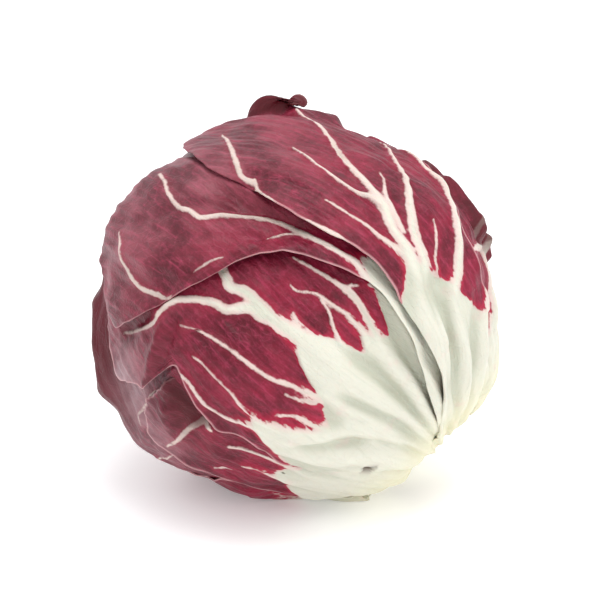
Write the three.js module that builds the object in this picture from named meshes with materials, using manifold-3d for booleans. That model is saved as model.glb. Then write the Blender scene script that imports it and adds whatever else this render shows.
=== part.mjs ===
// A round head of radicchio, lying on its side on the leaf that it has flattened.
//
// The head is a stack of leaves wrapped round a tight heart. Every leaf springs from the core, which ends in
// the cut butt, and runs over the head towards the crown. All places on the head are directions from its
// centre. A leaf has its own map of the head, in degrees: `along` is measured from the butt over the leaf's
// azimuth to the crown and beyond, and `across` is measured sideways from that line.
//
// Lengths are in millimetres and angles in degrees. +Z is up, and the origin is on the surface that the head
// lies on, under the middle of its box.
import * as THREE from "three";
import { mergeVertices } from "three/addons/utils/BufferGeometryUtils.js";
import Module from "manifold-3d";

// ---- Driving dimensions ----

const HEART_RADIUS = 51; // the tight ball of inner leaves
const BUTT_HOLLOW = 20; // how much the heart draws in at the butt, where the leaves are thickest
const HOLLOW_SPREAD = 34; // how far round from the butt it draws in, in degrees
const REST_HEIGHT = 55.4; // from the head's centre down to the surface it lies on, before FIGURE
const FIGURE = [1.02, 0.98, 0.975]; // how the head is broader than it is tall, along X, Y and Z
const BUTT_DIP = 42; // how far the butt points below the horizon
const BUTT_HEADING = -19.5; // the butt's compass heading, from +X towards -Y
const FACE_LIFT = 18; // how far azimuth 0 looks up from the front, before it is squared to the butt
// Broad bulges of the whole head, and hollows, which have a height below 0. Each is centred at an angle from
// the butt and an azimuth round it, and spreads over an angle.
const SWELLS = [
  { round: 155, azimuth: -2, spread: 24, height: 4.5 },
  { round: 106, azimuth: -80, spread: 26, height: 2.8 },
  { round: 122, azimuth: 62, spread: 27, height: -4.5 },
];

const LAMINA = 1.3; // a leaf's blade, with the room its puckers take
const MARGIN = 0.7; // the blade at its rim
const RIM_WIDTH = 8; // how far in from the rim the blade reaches full thickness
const RIB_HEIGHT = 1.9; // how much the midrib adds at the leaf's base
const RIB_WIDTH = 9; // half the midrib's width, in degrees
const RIB_FADE = 55; // how far along the leaf the midrib dies away, in degrees
const RIB_SPREAD = 1.4; // how much wider the midrib lifts the leaf above it
const GAP = 0.65; // the usual clearance between one leaf and the next
const HEART_GAP = 1.6; // clearance between the heart and the first leaf
const REACH = 3.5; // how far past a rim the leaf above stays lifted
const DRAPE = 15; // how far it then takes to come down
const SQUARENESS = 4; // exponent of a leaf's outline: 2 is an ellipse, and more is squarer

const CORE_RADIUS = 10;
const CORE_DEEP_RADIUS = 6;
const CORE_INNER_END = 16; // the core's pointed end, from the head's centre
const CORE_SHOULDER = 36; // where its taper ends
const BUTT_FACE = 58; // the cut face, from the head's centre
const BUTT_CHAMFER = 1.5;
const CORE_SIDES = 28;
const HEART_STEPS = [32, 20]; // how finely the heart is divided around and up
const BASE_SIGHT = 14; // where a leaf's height beside the core is taken, in degrees from the butt

// ---- The leaves, from the innermost to the outermost ----
// `mid` is the midrib, and `low` and `high` are the half-widths on its two sides, each as [along, degrees].
// `steps` is how finely a leaf is divided across and along, and `room` is its clearance to the leaf above.

const INNER_LEAVES = 6;
const innerLeaf = (i) => ({
  name: `inner_leaf_${i + 1}`,
  azimuth: 20 + i * 144,
  tip: 158,
  mid: [[0, 0], [160, i % 2 ? 6 : -6]],
  low: [[10, 14], [60, 38], [110, 44], [160, 40]],
  high: [[10, 14], [60, 40], [110, 42], [160, 36]],
  steps: [10, 12],
});

const OUTER_LEAVES = [
  {
    name: "back_leaf",
    azimuth: 178,
    tip: 160,
    mid: [[0, 0], [160, -6]],
    low: [[10, 15], [60, 38], [110, 46], [160, 40]],
    high: [[10, 15], [60, 40], [110, 44], [160, 38]],
    room: 0.9,
  },
  {
    name: "left_leaf",
    azimuth: -78,
    tip: 150,
    mid: [[0, 4], [90, 8], [150, 0]],
    low: [[10, 15], [60, 36], [110, 42], [150, 38]],
    high: [[10, 15], [60, 38], [110, 42], [150, 40]],
    room: 1.0,
  },
  {
    name: "crown_curl_leaf",
    azimuth: 128,
    tip: 160,
    mid: [[0, 0], [90, -4], [150, -10]],
    low: [[10, 15], [60, 34], [110, 40], [160, 30]],
    high: [[10, 15], [60, 36], [110, 42], [160, 34]],
  },
  {
    name: "low_front_leaf",
    azimuth: -50,
    tip: 90,
    mid: [[0, 4], [90, -2]],
    low: [[10, 14], [40, 22], [70, 26], [92, 24]],
    high: [[10, 14], [40, 24], [70, 28], [92, 24]],
    steps: [11, 11],
  },
  {
    name: "right_leaf",
    azimuth: 92,
    tip: 138,
    mid: [[0, -2], [90, 4], [138, 8]],
    low: [[10, 18], [50, 32], [100, 38], [138, 32]],
    high: [[10, 15], [60, 36], [110, 42], [138, 38]],
  },
  {
    name: "face_leaf",
    azimuth: -15,
    tip: 146,
    mid: [[0, 3], [50, 5], [100, 3], [146, -4]],
    low: [[10, 13], [50, 15], [70, 26], [92, 33], [108, 44], [125, 50], [146, 46]],
    high: [[10, 14], [50, 28], [100, 36], [146, 34]],
    steps: [14, 19],
    room: 1.0,
  },
  {
    name: "shoulder_leaf",
    azimuth: 10,
    tip: 168,
    mid: [[20, 5], [60, 12], [85, 13], [110, 2], [130, -9], [168, -6]],
    low: [[10, 10], [60, 6], [88, 5], [102, 13], [116, 24], [134, 36], [168, 34]],
    high: [[10, 12], [60, 20], [100, 30], [140, 44], [168, 40]],
    steps: [13, 24],
    room: 0.8,
  },
  {
    name: "rear_leaf",
    azimuth: -160,
    tip: 156,
    mid: [[0, 0], [90, 5], [156, 2]],
    low: [[10, 15], [60, 36], [110, 42], [156, 36]],
    high: [[10, 15], [60, 34], [110, 38], [156, 34]],
  },
  {
    name: "crown_leaf",
    azimuth: 50,
    tip: 168,
    mid: [[20, -11], [66, -12], [90, -7], [108, -3], [130, 9], [150, 12]],
    low: [[10, 9], [48, 8], [75, 14], [96, 24], [120, 34], [147, 41], [168, 42]],
    high: [[10, 12], [48, 17], [60, 18], [80, 28], [100, 32], [122, 30], [136, 20], [148, 8], [168, 6]],
    steps: [14, 20],
  },
  {
    name: "ground_leaf",
    azimuth: -106,
    tip: 88,
    mid: [[0, 2], [60, -2], [88, -3]],
    low: [[15, 24], [40, 34], [88, 36]],
    high: [[15, 22], [40, 26], [88, 24]],
    steps: [16, 14],
  },
];

const COLOURS = {
  blade: { color: 0x8c2c46, roughness: 0.45, metalness: 0 },
  heart: { color: 0x7a2440, roughness: 0.5, metalness: 0 },
  core: { color: 0xe9e2bf, roughness: 0.55, metalness: 0 },
};

// ---- Directions ----

const rad = THREE.MathUtils.degToRad;
const deg = THREE.MathUtils.radToDeg;

const BUTT = new THREE.Vector3(
  Math.cos(rad(BUTT_DIP)) * Math.cos(rad(BUTT_HEADING)),
  Math.cos(rad(BUTT_DIP)) * Math.sin(rad(BUTT_HEADING)),
  -Math.sin(rad(BUTT_DIP)),
);
const FACE = new THREE.Vector3(0, -Math.cos(rad(FACE_LIFT)), Math.sin(rad(FACE_LIFT)));
FACE.addScaledVector(BUTT, -FACE.dot(BUTT)).normalize(); // azimuth 0
const SIDE = FACE.clone().cross(BUTT); // azimuth 90
const DOWN = new THREE.Vector3(0, 0, -1);
const swellCentres = SWELLS.map(({ round, azimuth }) =>
  new THREE.Vector3()
    .addScaledVector(BUTT, Math.cos(rad(round)))
    .addScaledVector(FACE, Math.sin(rad(round)) * Math.cos(rad(azimuth)))
    .addScaledVector(SIDE, Math.sin(rad(round)) * Math.sin(rad(azimuth))),
);
const TINY = 1e-6; // keeps a division clear of 0
const MAP_START = -60; // where a leaf's map begins, so that all of the leaf lies in one turn

// A smooth curve through [at, value] pairs, level past both ends.
function curve(pairs, at) {
  const last = pairs.length - 1;
  if (at <= pairs[0][0]) return pairs[0][1];
  if (at >= pairs[last][0]) return pairs[last][1];
  const i = pairs.findIndex((pair) => pair[0] > at) - 1;
  const share = (at - pairs[i][0]) / (pairs[i + 1][0] - pairs[i][0]);
  const slope = (j) => {
    const before = pairs[Math.max(j - 1, 0)];
    const after = pairs[Math.min(j + 1, last)];
    return (after[1] - before[1]) / (after[0] - before[0]);
  };
  const span = pairs[i + 1][0] - pairs[i][0];
  const a = share * share * (3 - 2 * share);
  const lead = share * (1 - share) ** 2 * span * slope(i);
  const trail = share ** 2 * (share - 1) * span * slope(i + 1);
  return pairs[i][1] * (1 - a) + pairs[i + 1][1] * a + lead + trail;
}

const ramp = (x) => THREE.MathUtils.smoothstep(x, 0, 1);

// ---- One leaf ----

const angleBetween = (a, b) => deg(Math.acos(THREE.MathUtils.clamp(a.dot(b), -1, 1)));
const bell = (angle, spread) => Math.exp(-((angle / spread) ** 2));

function heartRadius(direction) {
  const round = HEART_RADIUS - BUTT_HOLLOW * bell(angleBetween(direction, BUTT), HOLLOW_SPREAD);
  return SWELLS.reduce(
    (sum, { spread, height }, i) => sum + height * bell(angleBetween(direction, swellCentres[i]), spread),
    round,
  );
}

class Leaf {
  constructor({ name, azimuth, tip, mid, low, high, steps = [12, 13], room = GAP }, under) {
    Object.assign(this, { name, tip, mid, low, high, steps, room, under });
    const c = Math.cos(rad(azimuth));
    const s = Math.sin(rad(azimuth));
    this.forward = FACE.clone().multiplyScalar(c).addScaledVector(SIDE, s);
    this.sideways = FACE.clone().multiplyScalar(-s).addScaledVector(SIDE, c);
    // It leaves the core just clear of the core's side, which is nearer the butt the higher the leaf lies.
    this.base = deg(Math.asin((CORE_RADIUS + GAP) / this.floor(this.direction(BASE_SIGHT, 0))));
    this.middle = (this.base + tip) / 2;
    this.halfLength = (tip - this.base) / 2;
  }

  // The height of this leaf's underside over the centre, in one direction.
  floor(direction) {
    return this.under.reduce((sum, leaf) => sum + leaf.lift(direction), heartRadius(direction) + HEART_GAP);
  }

  // The unit direction of a place on this leaf's map.
  direction(along, across) {
    const over = Math.cos(rad(across));
    return new THREE.Vector3()
      .addScaledVector(BUTT, over * Math.cos(rad(along)))
      .addScaledVector(this.forward, over * Math.sin(rad(along)))
      .addScaledVector(this.sideways, Math.sin(rad(across)));
  }

  // The place on this leaf's map of a unit direction.
  place(direction) {
    const across = deg(Math.asin(THREE.MathUtils.clamp(direction.dot(this.sideways), -1, 1)));
    const along = deg(Math.atan2(direction.dot(this.forward), direction.dot(BUTT)));
    return [along < MAP_START ? along + 360 : along, across];
  }

  halfWidth(along, side) {
    return curve(side < 0 ? this.low : this.high, along);
  }

  // How far inside the rim a place is, in millimetres, or less than 0 outside it.
  inside(along, across) {
    const offset = across - curve(this.mid, along);
    const width = this.halfWidth(along, offset);
    const x = Math.abs(offset) / width;
    const y = Math.abs(along - this.middle) / this.halfLength;
    const out = Math.max((x ** SQUARENESS + y ** SQUARENESS) ** (1 / SQUARENESS), TINY);
    const steepX = (x / out) ** (SQUARENESS - 1) / width;
    const steepY = (y / out) ** (SQUARENESS - 1) / this.halfLength;
    return rad((1 - out) / Math.hypot(steepX, steepY)) * HEART_RADIUS;
  }

  rib(along, across, spread = 1) {
    const x = (across - curve(this.mid, along)) / (RIB_WIDTH * spread);
    return RIB_HEIGHT * Math.exp(-x * x) * (1 - ramp((along - this.base) / RIB_FADE));
  }

  thickness(along, across) {
    const blade = MARGIN + (LAMINA - MARGIN) * ramp(this.inside(along, across) / RIM_WIDTH);
    return blade + this.rib(along, across) * ramp(this.inside(along, across) / RIM_WIDTH);
  }

  // How much this leaf lifts whatever lies over it.
  lift(direction) {
    const [along, across] = this.place(direction);
    const cover = ramp((this.inside(along, across) + REACH + DRAPE) / DRAPE);
    return cover * (LAMINA + this.room + this.rib(along, across, RIB_SPREAD));
  }
}

// ---- The stack ----

const leaves = [];
for (const facts of [...Array.from({ length: INNER_LEAVES }, (_, i) => innerLeaf(i)), ...OUTER_LEAVES]) {
  leaves.push(new Leaf(facts, [...leaves]));
}

// The share by which the surface below presses every layer in, so that the outermost one lies flat on it.
function pressed(direction) {
  const towards = direction.dot(DOWN);
  if (towards <= 0) return 1;
  const ground = leaves[leaves.length - 1];
  const top = ground.floor(direction) + ground.thickness(...ground.place(direction));
  return Math.min(1, REST_HEIGHT / (towards * top));
}

// ---- Solids ----

// A flat box bent round the head: its width and length become the leaf's map, and its two faces the leaf's.
function leafGeometry(leaf) {
  const [across, along] = leaf.steps;
  const geometry = new THREE.BoxGeometry(2, 2, 1, across, along, 1);
  geometry.deleteAttribute("normal");
  geometry.deleteAttribute("uv");
  const merged = mergeVertices(geometry);
  const position = merged.getAttribute("position");
  const v = new THREE.Vector3();
  for (let i = 0; i < position.count; i++) {
    v.fromBufferAttribute(position, i);
    // The box's square outline is drawn in to the leaf's rounded one.
    const square = Math.max(Math.abs(v.x), Math.abs(v.y));
    const round = Math.max((v.x ** SQUARENESS + v.y ** SQUARENESS) ** (1 / SQUARENESS), TINY);
    const x = (v.x * square) / round;
    const y = (v.y * square) / round;
    const s = leaf.middle + leaf.halfLength * y;
    const t = curve(leaf.mid, s) + leaf.halfWidth(s, x) * x;
    const direction = leaf.direction(s, t);
    const under = leaf.floor(direction);
    const radius = v.z < 0 ? under : under + leaf.thickness(s, t);
    v.copy(direction).multiplyScalar(radius * pressed(direction));
    position.setXYZ(i, v.x, v.y, v.z);
  }
  return merged;
}

const WELD = 1e-3; // vertices closer than this are one

const wasm = await Module();
wasm.setup();

function toSolid(geometry) {
  const bare = geometry.clone();
  bare.deleteAttribute("normal");
  bare.deleteAttribute("uv");
  const merged = mergeVertices(bare, WELD);
  return new wasm.Manifold(
    new wasm.Mesh({
      numProp: 3,
      vertProperties: new Float32Array(merged.getAttribute("position").array),
      triVerts: new Uint32Array(merged.index.array),
    }),
  );
}

function toGeometry(solid) {
  const mesh = solid.getMesh();
  const geometry = new THREE.BufferGeometry();
  geometry.setAttribute("position", new THREE.BufferAttribute(mesh.vertProperties, 3));
  geometry.setIndex(new THREE.BufferAttribute(mesh.triVerts, 1));
  return geometry;
}

// The core: a taper that grows into the butt and ends in its cut face. `grow` widens it all round.
function coreGeometry(grow = 0) {
  const profile = [
    [0, CORE_INNER_END - grow],
    [CORE_DEEP_RADIUS + grow, CORE_INNER_END - grow],
    [CORE_RADIUS + grow, CORE_SHOULDER],
    [CORE_RADIUS + grow, BUTT_FACE - BUTT_CHAMFER],
    [CORE_RADIUS + grow - BUTT_CHAMFER, BUTT_FACE],
    [0, BUTT_FACE],
  ].map(([radius, height]) => new THREE.Vector2(radius, height));
  const geometry = new THREE.LatheGeometry(profile, CORE_SIDES);
  const upright = new THREE.Vector3(0, 1, 0);
  return geometry.applyQuaternion(new THREE.Quaternion().setFromUnitVectors(upright, BUTT));
}

// The heart: a ball pressed in where the head lies, with a socket for the core.
function heartGeometry() {
  const ball = new THREE.SphereGeometry(1, ...HEART_STEPS);
  const position = ball.getAttribute("position");
  const v = new THREE.Vector3();
  for (let i = 0; i < position.count; i++) {
    v.fromBufferAttribute(position, i).normalize();
    v.multiplyScalar(heartRadius(v) * pressed(v));
    position.setXYZ(i, v.x, v.y, v.z);
  }
  return toGeometry(toSolid(ball).subtract(toSolid(coreGeometry(GAP))));
}

// ---- The head ----

function piece(name, geometry, look) {
  const mesh = new THREE.Mesh(geometry, new THREE.MeshStandardMaterial(look));
  mesh.name = name;
  return mesh;
}

const head = new THREE.Group();
head.scale.set(...FIGURE);
head.add(piece("core", coreGeometry(), COLOURS.core));
head.add(piece("heart", heartGeometry(), COLOURS.heart));
leaves.forEach((leaf) => head.add(piece(leaf.name, leafGeometry(leaf), COLOURS.blade)));

// The origin goes under the middle of the head's box.
const box = new THREE.Box3().setFromObject(head);
const centre = box.getCenter(new THREE.Vector3());
head.position.set(-centre.x, -centre.y, -box.min.z);

const radicchio = new THREE.Group();
radicchio.add(head);

export default radicchio;
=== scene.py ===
"""A round head of radicchio that lies on its side, on the leaf that it has flattened.

Crimson leaves with ivory ribs are wrapped round a tight heart, and every one of them springs from the core,
which ends in the cut butt. A place on the head is a direction from its centre: its angle from the butt, and
its azimuth round the butt, which is 0 on the side that faces the front. A leaf has its own map of the head,
in degrees: `along` runs from the butt over the leaf's azimuth to the crown, and `across` runs sideways.

Sizes are in millimetres and angles in degrees, until a mesh is finished in metres.
"""

import itertools
import logging
import math
from dataclasses import dataclass, field
from enum import Enum

import bmesh
import bpy
import numpy as np
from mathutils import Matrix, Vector


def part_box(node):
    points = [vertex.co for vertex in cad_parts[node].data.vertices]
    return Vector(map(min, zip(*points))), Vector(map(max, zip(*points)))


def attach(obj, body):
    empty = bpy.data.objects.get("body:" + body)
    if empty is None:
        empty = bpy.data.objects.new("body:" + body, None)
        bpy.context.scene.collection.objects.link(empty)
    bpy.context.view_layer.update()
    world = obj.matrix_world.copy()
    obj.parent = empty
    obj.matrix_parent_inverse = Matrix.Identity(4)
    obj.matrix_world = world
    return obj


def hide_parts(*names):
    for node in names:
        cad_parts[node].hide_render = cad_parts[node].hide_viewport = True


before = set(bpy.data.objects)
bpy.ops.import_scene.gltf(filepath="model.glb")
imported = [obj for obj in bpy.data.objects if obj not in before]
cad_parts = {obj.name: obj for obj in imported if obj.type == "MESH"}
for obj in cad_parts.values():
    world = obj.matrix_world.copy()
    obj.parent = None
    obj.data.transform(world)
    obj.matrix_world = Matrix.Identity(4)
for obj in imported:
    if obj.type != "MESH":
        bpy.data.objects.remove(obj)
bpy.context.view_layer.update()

log = logging.getLogger("radicchio")
MM = 0.001  # metres in a millimetre

# ---- The head's driving sizes, which its solids share ----

HEART_RADIUS = 51.0  # the tight ball of inner leaves
BUTT_HOLLOW = 20.0  # how much the heart draws in at the butt
HOLLOW_SPREAD = 34.0  # how far round from the butt it draws in
REST_HEIGHT = 55.4  # from the head's centre down to the surface it lies on, before FIGURE
FIGURE = np.array([1.02, 0.98, 0.975])  # how the head is broader than it is tall, along X, Y and Z
# Bells over the head, each the angle from the butt and azimuth of its middle, its spread, and its height.
Bells = tuple[tuple[float, float, float, float], ...]
SWELLS: Bells = ((155, -2, 24, 4.5), (106, -80, 26, 2.8), (122, 62, 27, -4.5))  # broad bulges of the heart
BULGES: Bells = ((95, -84, 16, 3.6), (150, -62, 15, 0.6))  # broad bulges of the leaves alone
FADED_RIMS: Bells = ((146, -10, 20, 5.0),)  # where the margins aren't pale, as millimetres from the rim
SHEEN_AND_BLOOM_SPOTS: Bells = (  # where a greyish sheen is painted on the skin: painted highlight of the light on its wax, with some of its own grey bloom
    (110, -61, 11, 0.7), (93, -72, 13, 0.5), (140, -40, 24, 0.14), (150, 20, 26, 0.2),
)
BUTT_DIP = 42.0  # how far the butt points below the horizon
BUTT_HEADING = -19.5  # the butt's compass heading, from +X towards -Y
FACE_LIFT = 18.0  # how far azimuth 0 looks up from the front
LAMINA = 1.3  # the room that a leaf's blade takes in the stack
RIB_HEIGHT = 1.9  # what the midrib adds at the leaf's base
RIB_WIDTH = 12.6  # half the width that the midrib lifts, in degrees
RIB_FADE = 55.0  # how far along the leaf the midrib dies away
GAP = 0.65  # the usual clearance between one leaf and the next
HEART_GAP = 1.6  # the clearance between the heart and the first leaf
REACH = 3.5  # how far past a rim the leaf above stays lifted
DRAPE = 15.0  # how much further it takes to come down
SQUARENESS = 4.0  # exponent of a leaf's outline
COVER_REACH, COVER_RUN = 1.0, 5.0  # where a leaf starts to cover what lies under it, and how far it takes
CORE_RADIUS = 10.0  # the core, where the leaves spring from it
BASE_SIGHT = 14.0  # where a leaf's height beside the core is taken, in degrees from the butt
BUTT_SHAPE = ((8.0, 57.0), (16.0, 59.0), (30.0, 60.5), (60.0, 61.0))  # radius where the bases grow together
SKIN_RADIUS = 60.0  # the head's own radius, at which lengths over it are measured
MAP_START = -60.0  # where a leaf's map begins
TINY = 1e-6  # the least number that anything is divided by
STRAIGHT = 1e-4  # the least turn of a rolled margin, in radians

Pairs = tuple[tuple[float, float], ...]


def unit(v: np.ndarray) -> np.ndarray:
    """Scales each row of an array to length 1."""
    return v / np.maximum(np.linalg.norm(v, axis=-1, keepdims=True), TINY)


def ramp(x: np.ndarray) -> np.ndarray:
    """Rises smoothly from 0 to 1 as x does."""
    x = np.clip(x, 0.0, 1.0)
    return x * x * (3.0 - 2.0 * x)


def curve(pairs: Pairs, at: np.ndarray) -> np.ndarray:
    """Reads a smooth curve through given pairs, level past both its ends.

    Args:
        pairs: The (at, value) pairs that the curve goes through.
        at: Where to read it.

    Returns:
        The curve's values there.
    """
    knots, values = np.array(pairs, float).T
    places = np.arange(len(knots))
    ahead, behind = np.minimum(places + 1, len(knots) - 1), np.maximum(places - 1, 0)
    slopes = (values[ahead] - values[behind]) / (knots[ahead] - knots[behind])
    x = np.clip(at, knots[0], knots[-1])
    i = np.clip(np.searchsorted(knots, x, side="right") - 1, 0, len(knots) - 2)
    span = knots[i + 1] - knots[i]
    share = (x - knots[i]) / span
    blend = ramp(share)
    lead = share * (1.0 - share) ** 2 * span * slopes[i]
    trail = share**2 * (share - 1.0) * span * slopes[i + 1]
    return values[i] * (1.0 - blend) + values[i + 1] * blend + lead + trail


class Noise:
    """Smooth noise in space, about from -1 to 1 and the same on every run."""

    SLOPES = 256
    GAIN = 1.6  # brings the sum of the slopes to about -1 to 1

    def __init__(self, seed: int) -> None:
        """Draws the noise's slopes.

        Args:
            seed: A number that is the noise's own.
        """
        chance = np.random.default_rng(seed)
        self.order = chance.permutation(self.SLOPES)
        self.slopes = unit(chance.normal(size=(self.SLOPES, 3)))

    def __call__(self, points: np.ndarray, size: float) -> np.ndarray:
        """Reads the noise.

        Args:
            points: Places, one a row.
            size: The size of its lumps, in the same unit.

        Returns:
            One value for each place.
        """
        scaled = points / size
        cell = np.floor(scaled).astype(int)
        inside = scaled - cell
        share = ramp(inside)
        total = np.zeros(len(points))
        for corner in itertools.product((0, 1), repeat=3):
            key = np.zeros(len(points), int)
            for axis in range(3):
                key = self.order[(key + cell[:, axis] + corner[axis]) % self.SLOPES]
            weight = np.prod(np.where(np.array(corner) == 1, share, 1.0 - share), axis=1)
            total += weight * ((inside - corner) * self.slopes[key]).sum(axis=1)
        return total * self.GAIN

    def lumps(self, points: np.ndarray, kinds: Pairs) -> np.ndarray:
        """The sum of several kinds of lump, each given as its height and its size."""
        return sum(height * self(points, size) for height, size in kinds)


# ---- Directions ----


def heading(dip: float, compass: float) -> np.ndarray:
    """The unit direction that dips below the horizon and has a compass heading, both in degrees."""
    down, turn = math.radians(dip), math.radians(compass)
    return np.array([math.cos(down) * math.cos(turn), math.cos(down) * math.sin(turn), -math.sin(down)])


BUTT = heading(BUTT_DIP, BUTT_HEADING)
FRONT = heading(-FACE_LIFT, -90.0)
FACE = unit(FRONT - (FRONT @ BUTT) * BUTT)
SIDE = np.cross(FACE, BUTT)


def polar(round_butt: np.ndarray, azimuth: np.ndarray) -> np.ndarray:
    """The unit directions at angles from the butt and azimuths round it, in degrees."""
    theta, phi = np.radians(round_butt)[..., None], np.radians(azimuth)[..., None]
    return np.cos(theta) * BUTT + np.sin(theta) * (np.cos(phi) * FACE + np.sin(phi) * SIDE)


def from_butt(directions: np.ndarray) -> np.ndarray:
    """The angle of each direction from the butt, in degrees."""
    return np.degrees(np.arccos(np.clip(directions @ BUTT, -1.0, 1.0)))


def azimuth_of(directions: np.ndarray) -> np.ndarray:
    """The azimuth of each direction round the butt, in degrees."""
    return np.degrees(np.arctan2(directions @ SIDE, directions @ FACE))


def away_from(theta: float, phi: float, directions: np.ndarray) -> np.ndarray:
    """The angle of each direction from one place on the head, in degrees."""
    centre = polar(np.array([theta]), np.array([phi]))[0]
    return np.degrees(np.arccos(np.clip(directions @ centre, -1.0, 1.0)))


def bell(x: np.ndarray, power: float = 2.0) -> np.ndarray:
    """A bell over x: 1 at 0, and dying away past 1 to both sides."""
    return np.exp(-(np.abs(x) ** power))


def bells(places: Bells, directions: np.ndarray) -> np.ndarray:
    """The sum of several bells over the head, at each direction."""
    return sum(
        height * bell(away_from(theta, phi, directions) / spread) for theta, phi, spread, height in places
    )


def swelling(directions: np.ndarray) -> np.ndarray:
    """How far the head's broad bulges raise each direction, in millimetres."""
    return bells(SWELLS, directions)


# ---- Lines over the head ----


class Course:
    """A smooth line over the head."""

    SPACING = 1.2  # between the line's own points, in millimetres
    LEAST_POINTS = 4

    def __init__(self, stops: np.ndarray) -> None:
        """Lays the line.

        Args:
            stops: The unit directions that it goes through, one a row.
        """
        stops = unit(np.asarray(stops, float))
        lengths = np.linalg.norm(np.diff(stops, axis=0), axis=1)
        at = np.concatenate([[0.0], np.cumsum(lengths)])
        count = max(self.LEAST_POINTS, int(at[-1] * SKIN_RADIUS / self.SPACING))
        where = np.linspace(0.0, at[-1], count)
        axes = [curve(tuple(zip(at, stops[:, k])), where) for k in range(3)]
        self.points = unit(np.stack(axes, axis=1))
        self.tangents = unit(np.gradient(self.points, axis=0))
        self.binormals = unit(np.cross(self.points, self.tangents))
        self.step = at[-1] * SKIN_RADIUS / (count - 1)

    def measure(self, directions: np.ndarray) -> tuple[np.ndarray, np.ndarray, np.ndarray]:
        """Measures places against the line.

        Args:
            directions: Unit directions, one a row.

        Returns:
            Their distances from the line in millimetres, the share of the line's length they lie at, and how
            far to its side they lie.
        """
        last = len(self.points) - 1
        nearest = np.argmax(directions @ self.points.T, axis=1)
        ahead = (directions * self.tangents[nearest]).sum(axis=1) * SKIN_RADIUS
        aside = (directions * self.binormals[nearest]).sum(axis=1) * SKIN_RADIUS
        past = np.where(nearest == last, np.maximum(ahead, 0.0), 0.0)
        past = np.where(nearest == 0, np.minimum(ahead, 0.0), past)
        share = np.clip((nearest + ahead / self.step) / last, 0.0, 1.0)
        return np.hypot(aside, past), share, aside


@dataclass(frozen=True)
class Rib:
    """A rib or vein of a leaf.

    `stops` are the places it goes through, each as its angle from the butt and its azimuth, and `widths` are
    its half-widths in millimetres, spread evenly along it.
    """

    stops: Pairs
    widths: tuple[float, ...]

    def course(self) -> Course:
        """The line that the rib follows."""
        theta, phi = np.array(self.stops, float).T
        return Course(polar(theta, phi))


@dataclass(frozen=True)
class Crest:
    """A fold, or a stretch of margin that stands up or sinks in.

    `stops` are its places as a rib's are, `height` is how far it stands out, `left` and `right` are how far
    it reaches to its two sides, in millimetres, and `dark` is how much painted shade darkens it, from 0 to
    1. Over `ENDS`, a share of its length, it rises at one end and falls at the other.
    """

    ENDS = 0.2

    stops: Pairs
    height: float
    left: float
    right: float
    dark: float = 0.0

    def share(self, directions: np.ndarray) -> np.ndarray:
        """Measures how much of the crest there is.

        Args:
            directions: Unit directions of the places to measure.

        Returns:
            A share for each place, from 0 to 1.
        """
        theta, phi = np.array(self.stops, float).T
        distance, share, aside = Course(polar(theta, phi)).measure(directions)
        reach = np.where(aside > 0.0, self.left, self.right)
        ends = ramp(share / self.ENDS) * ramp((1.0 - share) / self.ENDS)
        return ends * bell(distance / reach)


@dataclass(frozen=True)
class Point:
    """A corner of the outline, drawn out.

    `at` is its place, `spread` its size in degrees of the head, and `reach` the share of the leaf's half
    length that it is drawn out by, less than 0 where it's drawn in. `SHARPNESS` sets how pointed it is.
    """

    SHARPNESS = 1.3

    at: tuple[float, float]
    spread: float
    reach: float

    def pull(self, directions: np.ndarray) -> np.ndarray:
        """How far the outline is drawn out at each place."""
        away = away_from(*self.at, directions) / self.spread
        return self.reach * bell(away, self.SHARPNESS)


@dataclass(frozen=True)
class Curl:
    """A stretch of margin that rolls outwards.

    `at` is the place that it is centred on, `spread` how far it reaches round the rim in degrees of the
    head, `depth` how much of the blade rolls in millimetres, and `turn` how far it turns in degrees.
    `FLATNESS` sets how evenly it rolls before it dies away.
    """

    FLATNESS = 4.0

    at: tuple[float, float]
    spread: float
    depth: float
    turn: float

    def share(self, directions: np.ndarray, wider: float = 1.0) -> np.ndarray:
        """How much of the curl there is at each place, from 0 to 1, as if it were wider by a factor."""
        return bell(away_from(*self.at, directions) / (self.spread * wider), self.FLATNESS)


# ---- One leaf ----


class Age(Enum):
    """How old a leaf is, which sets its colours."""

    YOUNG = "young leaf"
    OLD = "old leaf"


@dataclass(frozen=True)
class Fan:
    """How ribs fan out over a leaf that has none of its own.

    Lengths along the leaf and across it are in degrees, widths are half-widths in millimetres, and shares
    are of the way from the leaf's base to a rib's end.
    """

    each_side: int = 3
    short: float = 14.0  # what the midrib leaves free at the tip
    shorter: float = 7.0  # what each rib beside it leaves free as well
    uneven: float = 5.0
    spread: tuple[float, float, float] = (0.12, 0.78, 0.8)  # at the base, its gain, and the gain's power
    margin: float = 3.4  # the leaf's half width, counted in ribs
    sway: float = 2.0
    stops: int = 5
    midrib: float = 4.6
    slimmer: float = 0.7  # what each rib beside the midrib is slimmer by
    widths: tuple[float, ...] = (2.6, 1.1, 0.6, 0.25)
    fork: tuple[float, float] = (0.4, 0.62)
    fork_along: tuple[float, ...] = (0.0, 0.11, 0.24)
    fork_across: tuple[float, ...] = (0.0, 4.0, 11.0)
    fork_widths: tuple[float, ...] = (0.9, 0.5, 0.25)


FAN = Fan()


def roundness(x: np.ndarray, y: np.ndarray) -> np.ndarray:
    """How far out places are on a rounded square, from 0 in the middle to 1 on its outline."""
    return np.maximum((np.abs(x) ** SQUARENESS + np.abs(y) ** SQUARENESS) ** (1.0 / SQUARENESS), TINY)


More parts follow.
